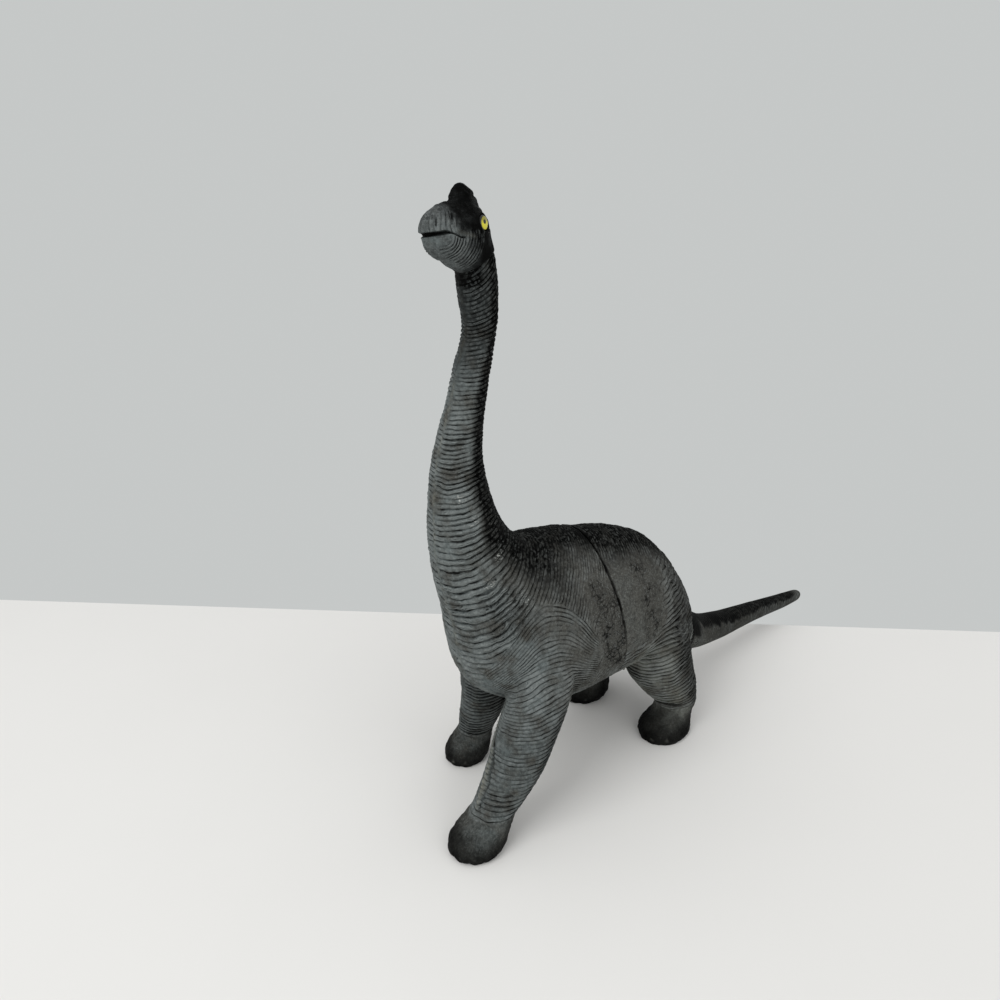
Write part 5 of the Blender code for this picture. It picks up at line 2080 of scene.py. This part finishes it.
@dataclass
class Studio:
    """Pale card, soft lamps, and the camera at the photograph's angle."""

    eye: Vector = field(default_factory=lambda: Vector((0.19688, -0.22657, 0.220)))
    heading: Vector = field(default_factory=lambda: Vector((-0.776, 0.630, 0)))
    pitch: float = math.radians(24)
    roll: float = math.radians(2.5)
    focal: float = 32.76
    sensor: float = 36.0
    near: float = 0.01
    far: float = 20.0
    wall: Colour = (0.775, 0.785, 0.782)
    air: float = 0.80
    key_place: Vector = field(default_factory=lambda: Vector((0.05, -0.55, 0.75)))
    key_size: float = 0.5
    key_power: float = 2.6
    fill_place: Vector = field(default_factory=lambda: Vector((0.75, -0.05, 0.45)))
    fill_size: float = 0.7
    fill_power: float = 1.2
    aim: Vector = field(default_factory=lambda: Vector((0, 0, 0.09)))
    card_width: float = 6.0
    card_corner: Vector = field(default_factory=lambda: Vector((-0.2559, -0.1564, 0)))
    card_edge: Vector = field(default_factory=lambda: Vector((0.3297, 0.3038, 0)))

    def camera(self) -> None:
        """Set the camera at the photograph's angle."""
        ahead = self.heading.normalized() * math.cos(self.pitch) + DOWN * math.sin(self.pitch)
        right = ahead.cross(UP).normalized()
        up = right.cross(ahead)
        across = right * math.cos(self.roll) - up * math.sin(self.roll)
        above = right * math.sin(self.roll) + up * math.cos(self.roll)
        turn = Matrix((across, above, -ahead)).transposed().to_4x4()
        bpy.ops.object.camera_add()
        camera = bpy.context.object
        camera.name = "view_camera"
        camera.matrix_world = Matrix.Translation(self.eye) @ turn
        camera.data.lens, camera.data.sensor_width = self.focal, self.sensor
        camera.data.clip_start, camera.data.clip_end = self.near, self.far
        bpy.context.scene.camera = camera

    def floor(self) -> None:
        """Lay a sheet of white card, with its far edge behind the figure."""
        along = self.card_edge.normalized()
        Bench.pick()
        bpy.ops.mesh.primitive_plane_add(size=self.card_width)
        card = bpy.context.object
        card.name = card.data.name = "floor_card"
        middle = self.card_corner + Vector((along.y, -along.x, 0)) * self.card_width / 2
        turn = Vector((1, 0, 0)).rotation_difference(along).to_matrix().to_4x4()
        Bench.settle(card, Matrix.Translation(middle) @ turn)
        Bench.paint(card, Card("floor_card").material())

    def lamp(self, name: str, place: Vector, size: float, power: float) -> None:
        """A soft square lamp aimed at the figure's middle."""
        bpy.ops.object.light_add(type="AREA")
        lamp = bpy.context.object
        lamp.name = name
        lamp.data.size, lamp.data.energy = size, power
        turn = (self.aim - place).to_track_quat("-Z", "Y").to_matrix().to_4x4()
        lamp.matrix_world = Matrix.Translation(place) @ turn

    def world(self) -> None:
        """Even light from all round, with the wall's pale grey wherever the surroundings show."""
        world = bpy.data.worlds.new("studio_air")
        world.use_nodes = True
        bpy.context.scene.world = world
        nodes, links = world.node_tree.nodes, world.node_tree.links
        seen = nodes.new("ShaderNodeLightPath")
        either = nodes.new("ShaderNodeMath")
        either.operation = "MAXIMUM"
        links.new(seen.outputs["Is Camera Ray"], either.inputs[0])
        links.new(seen.outputs["Is Glossy Ray"], either.inputs[1])
        mix = nodes.new("ShaderNodeMixShader")
        air = nodes["Background"]
        air.inputs["Color"].default_value = (1, 1, 1, 1)
        air.inputs["Strength"].default_value = self.air
        wall = nodes.new("ShaderNodeBackground")
        wall.inputs["Color"].default_value = linear(self.wall)
        links.new(either.outputs[0], mix.inputs["Fac"])
        links.new(air.outputs[0], mix.inputs[1])
        links.new(wall.outputs[0], mix.inputs[2])
        links.new(mix.outputs[0], nodes["World Output"].inputs["Surface"])

    def build(self) -> None:
        """Set up the card, the lamps, the air and the camera."""
        bpy.context.scene.view_settings.view_transform = "Standard"
        self.floor()
        self.lamp("key_lamp", self.key_place, self.key_size, self.key_power)
        self.lamp("fill_lamp", self.fill_place, self.fill_size, self.fill_power)
        self.world()
        self.camera()


# All together.


def joint(name: str) -> tuple[Vector, Vector]:
    """Where the frame has a joint, and which way it points."""
    found = next(one for one in frame["joints"] if one["name"] == name)
    return Vector(found["pos_m"]), Vector(found["axis"])


def dress_wadding() -> None:
    """Give the fibre wads inside the castings their own finish."""
    fibre = Wadding("fibre_wadding_matted").material()
    for name, node in frame["nodes"].items():
        if name.endswith("_filling"):
            Bench.paint(node, fibre)


def main() -> None:
    """Build every sub-assembly in order and report each."""
    logging.basicConfig(level=logging.INFO, format="%(name)s: %(message)s")
    (head_place, head_axis), (tail_place, tail_axis) = joint("head_swivel"), joint("tail_swivel")
    tail_middle = Vector((0, 0.066, 0.0255))
    origin = tail_place - tail_middle
    head_seat = Seat(head_place - origin, head_axis, lid=0.0012, stem_radius=0.0019,
                     flange_radius=0.0029, flange_thickness=0.0011)
    tail_seat = Seat(tail_middle, tail_axis, lid=0.0018, stem_radius=0.0040,
                     flange_radius=0.0054, flange_thickness=0.0018)
    Studio().build()
    log.info("studio set")
    Body(origin, head_seat, tail_seat).build()
    Head(origin, head_seat).build()
    Tail(origin, tail_seat).build()
    dress_wadding()
    log.info("wadding dressed")


if __name__ == "__main__":
    main()
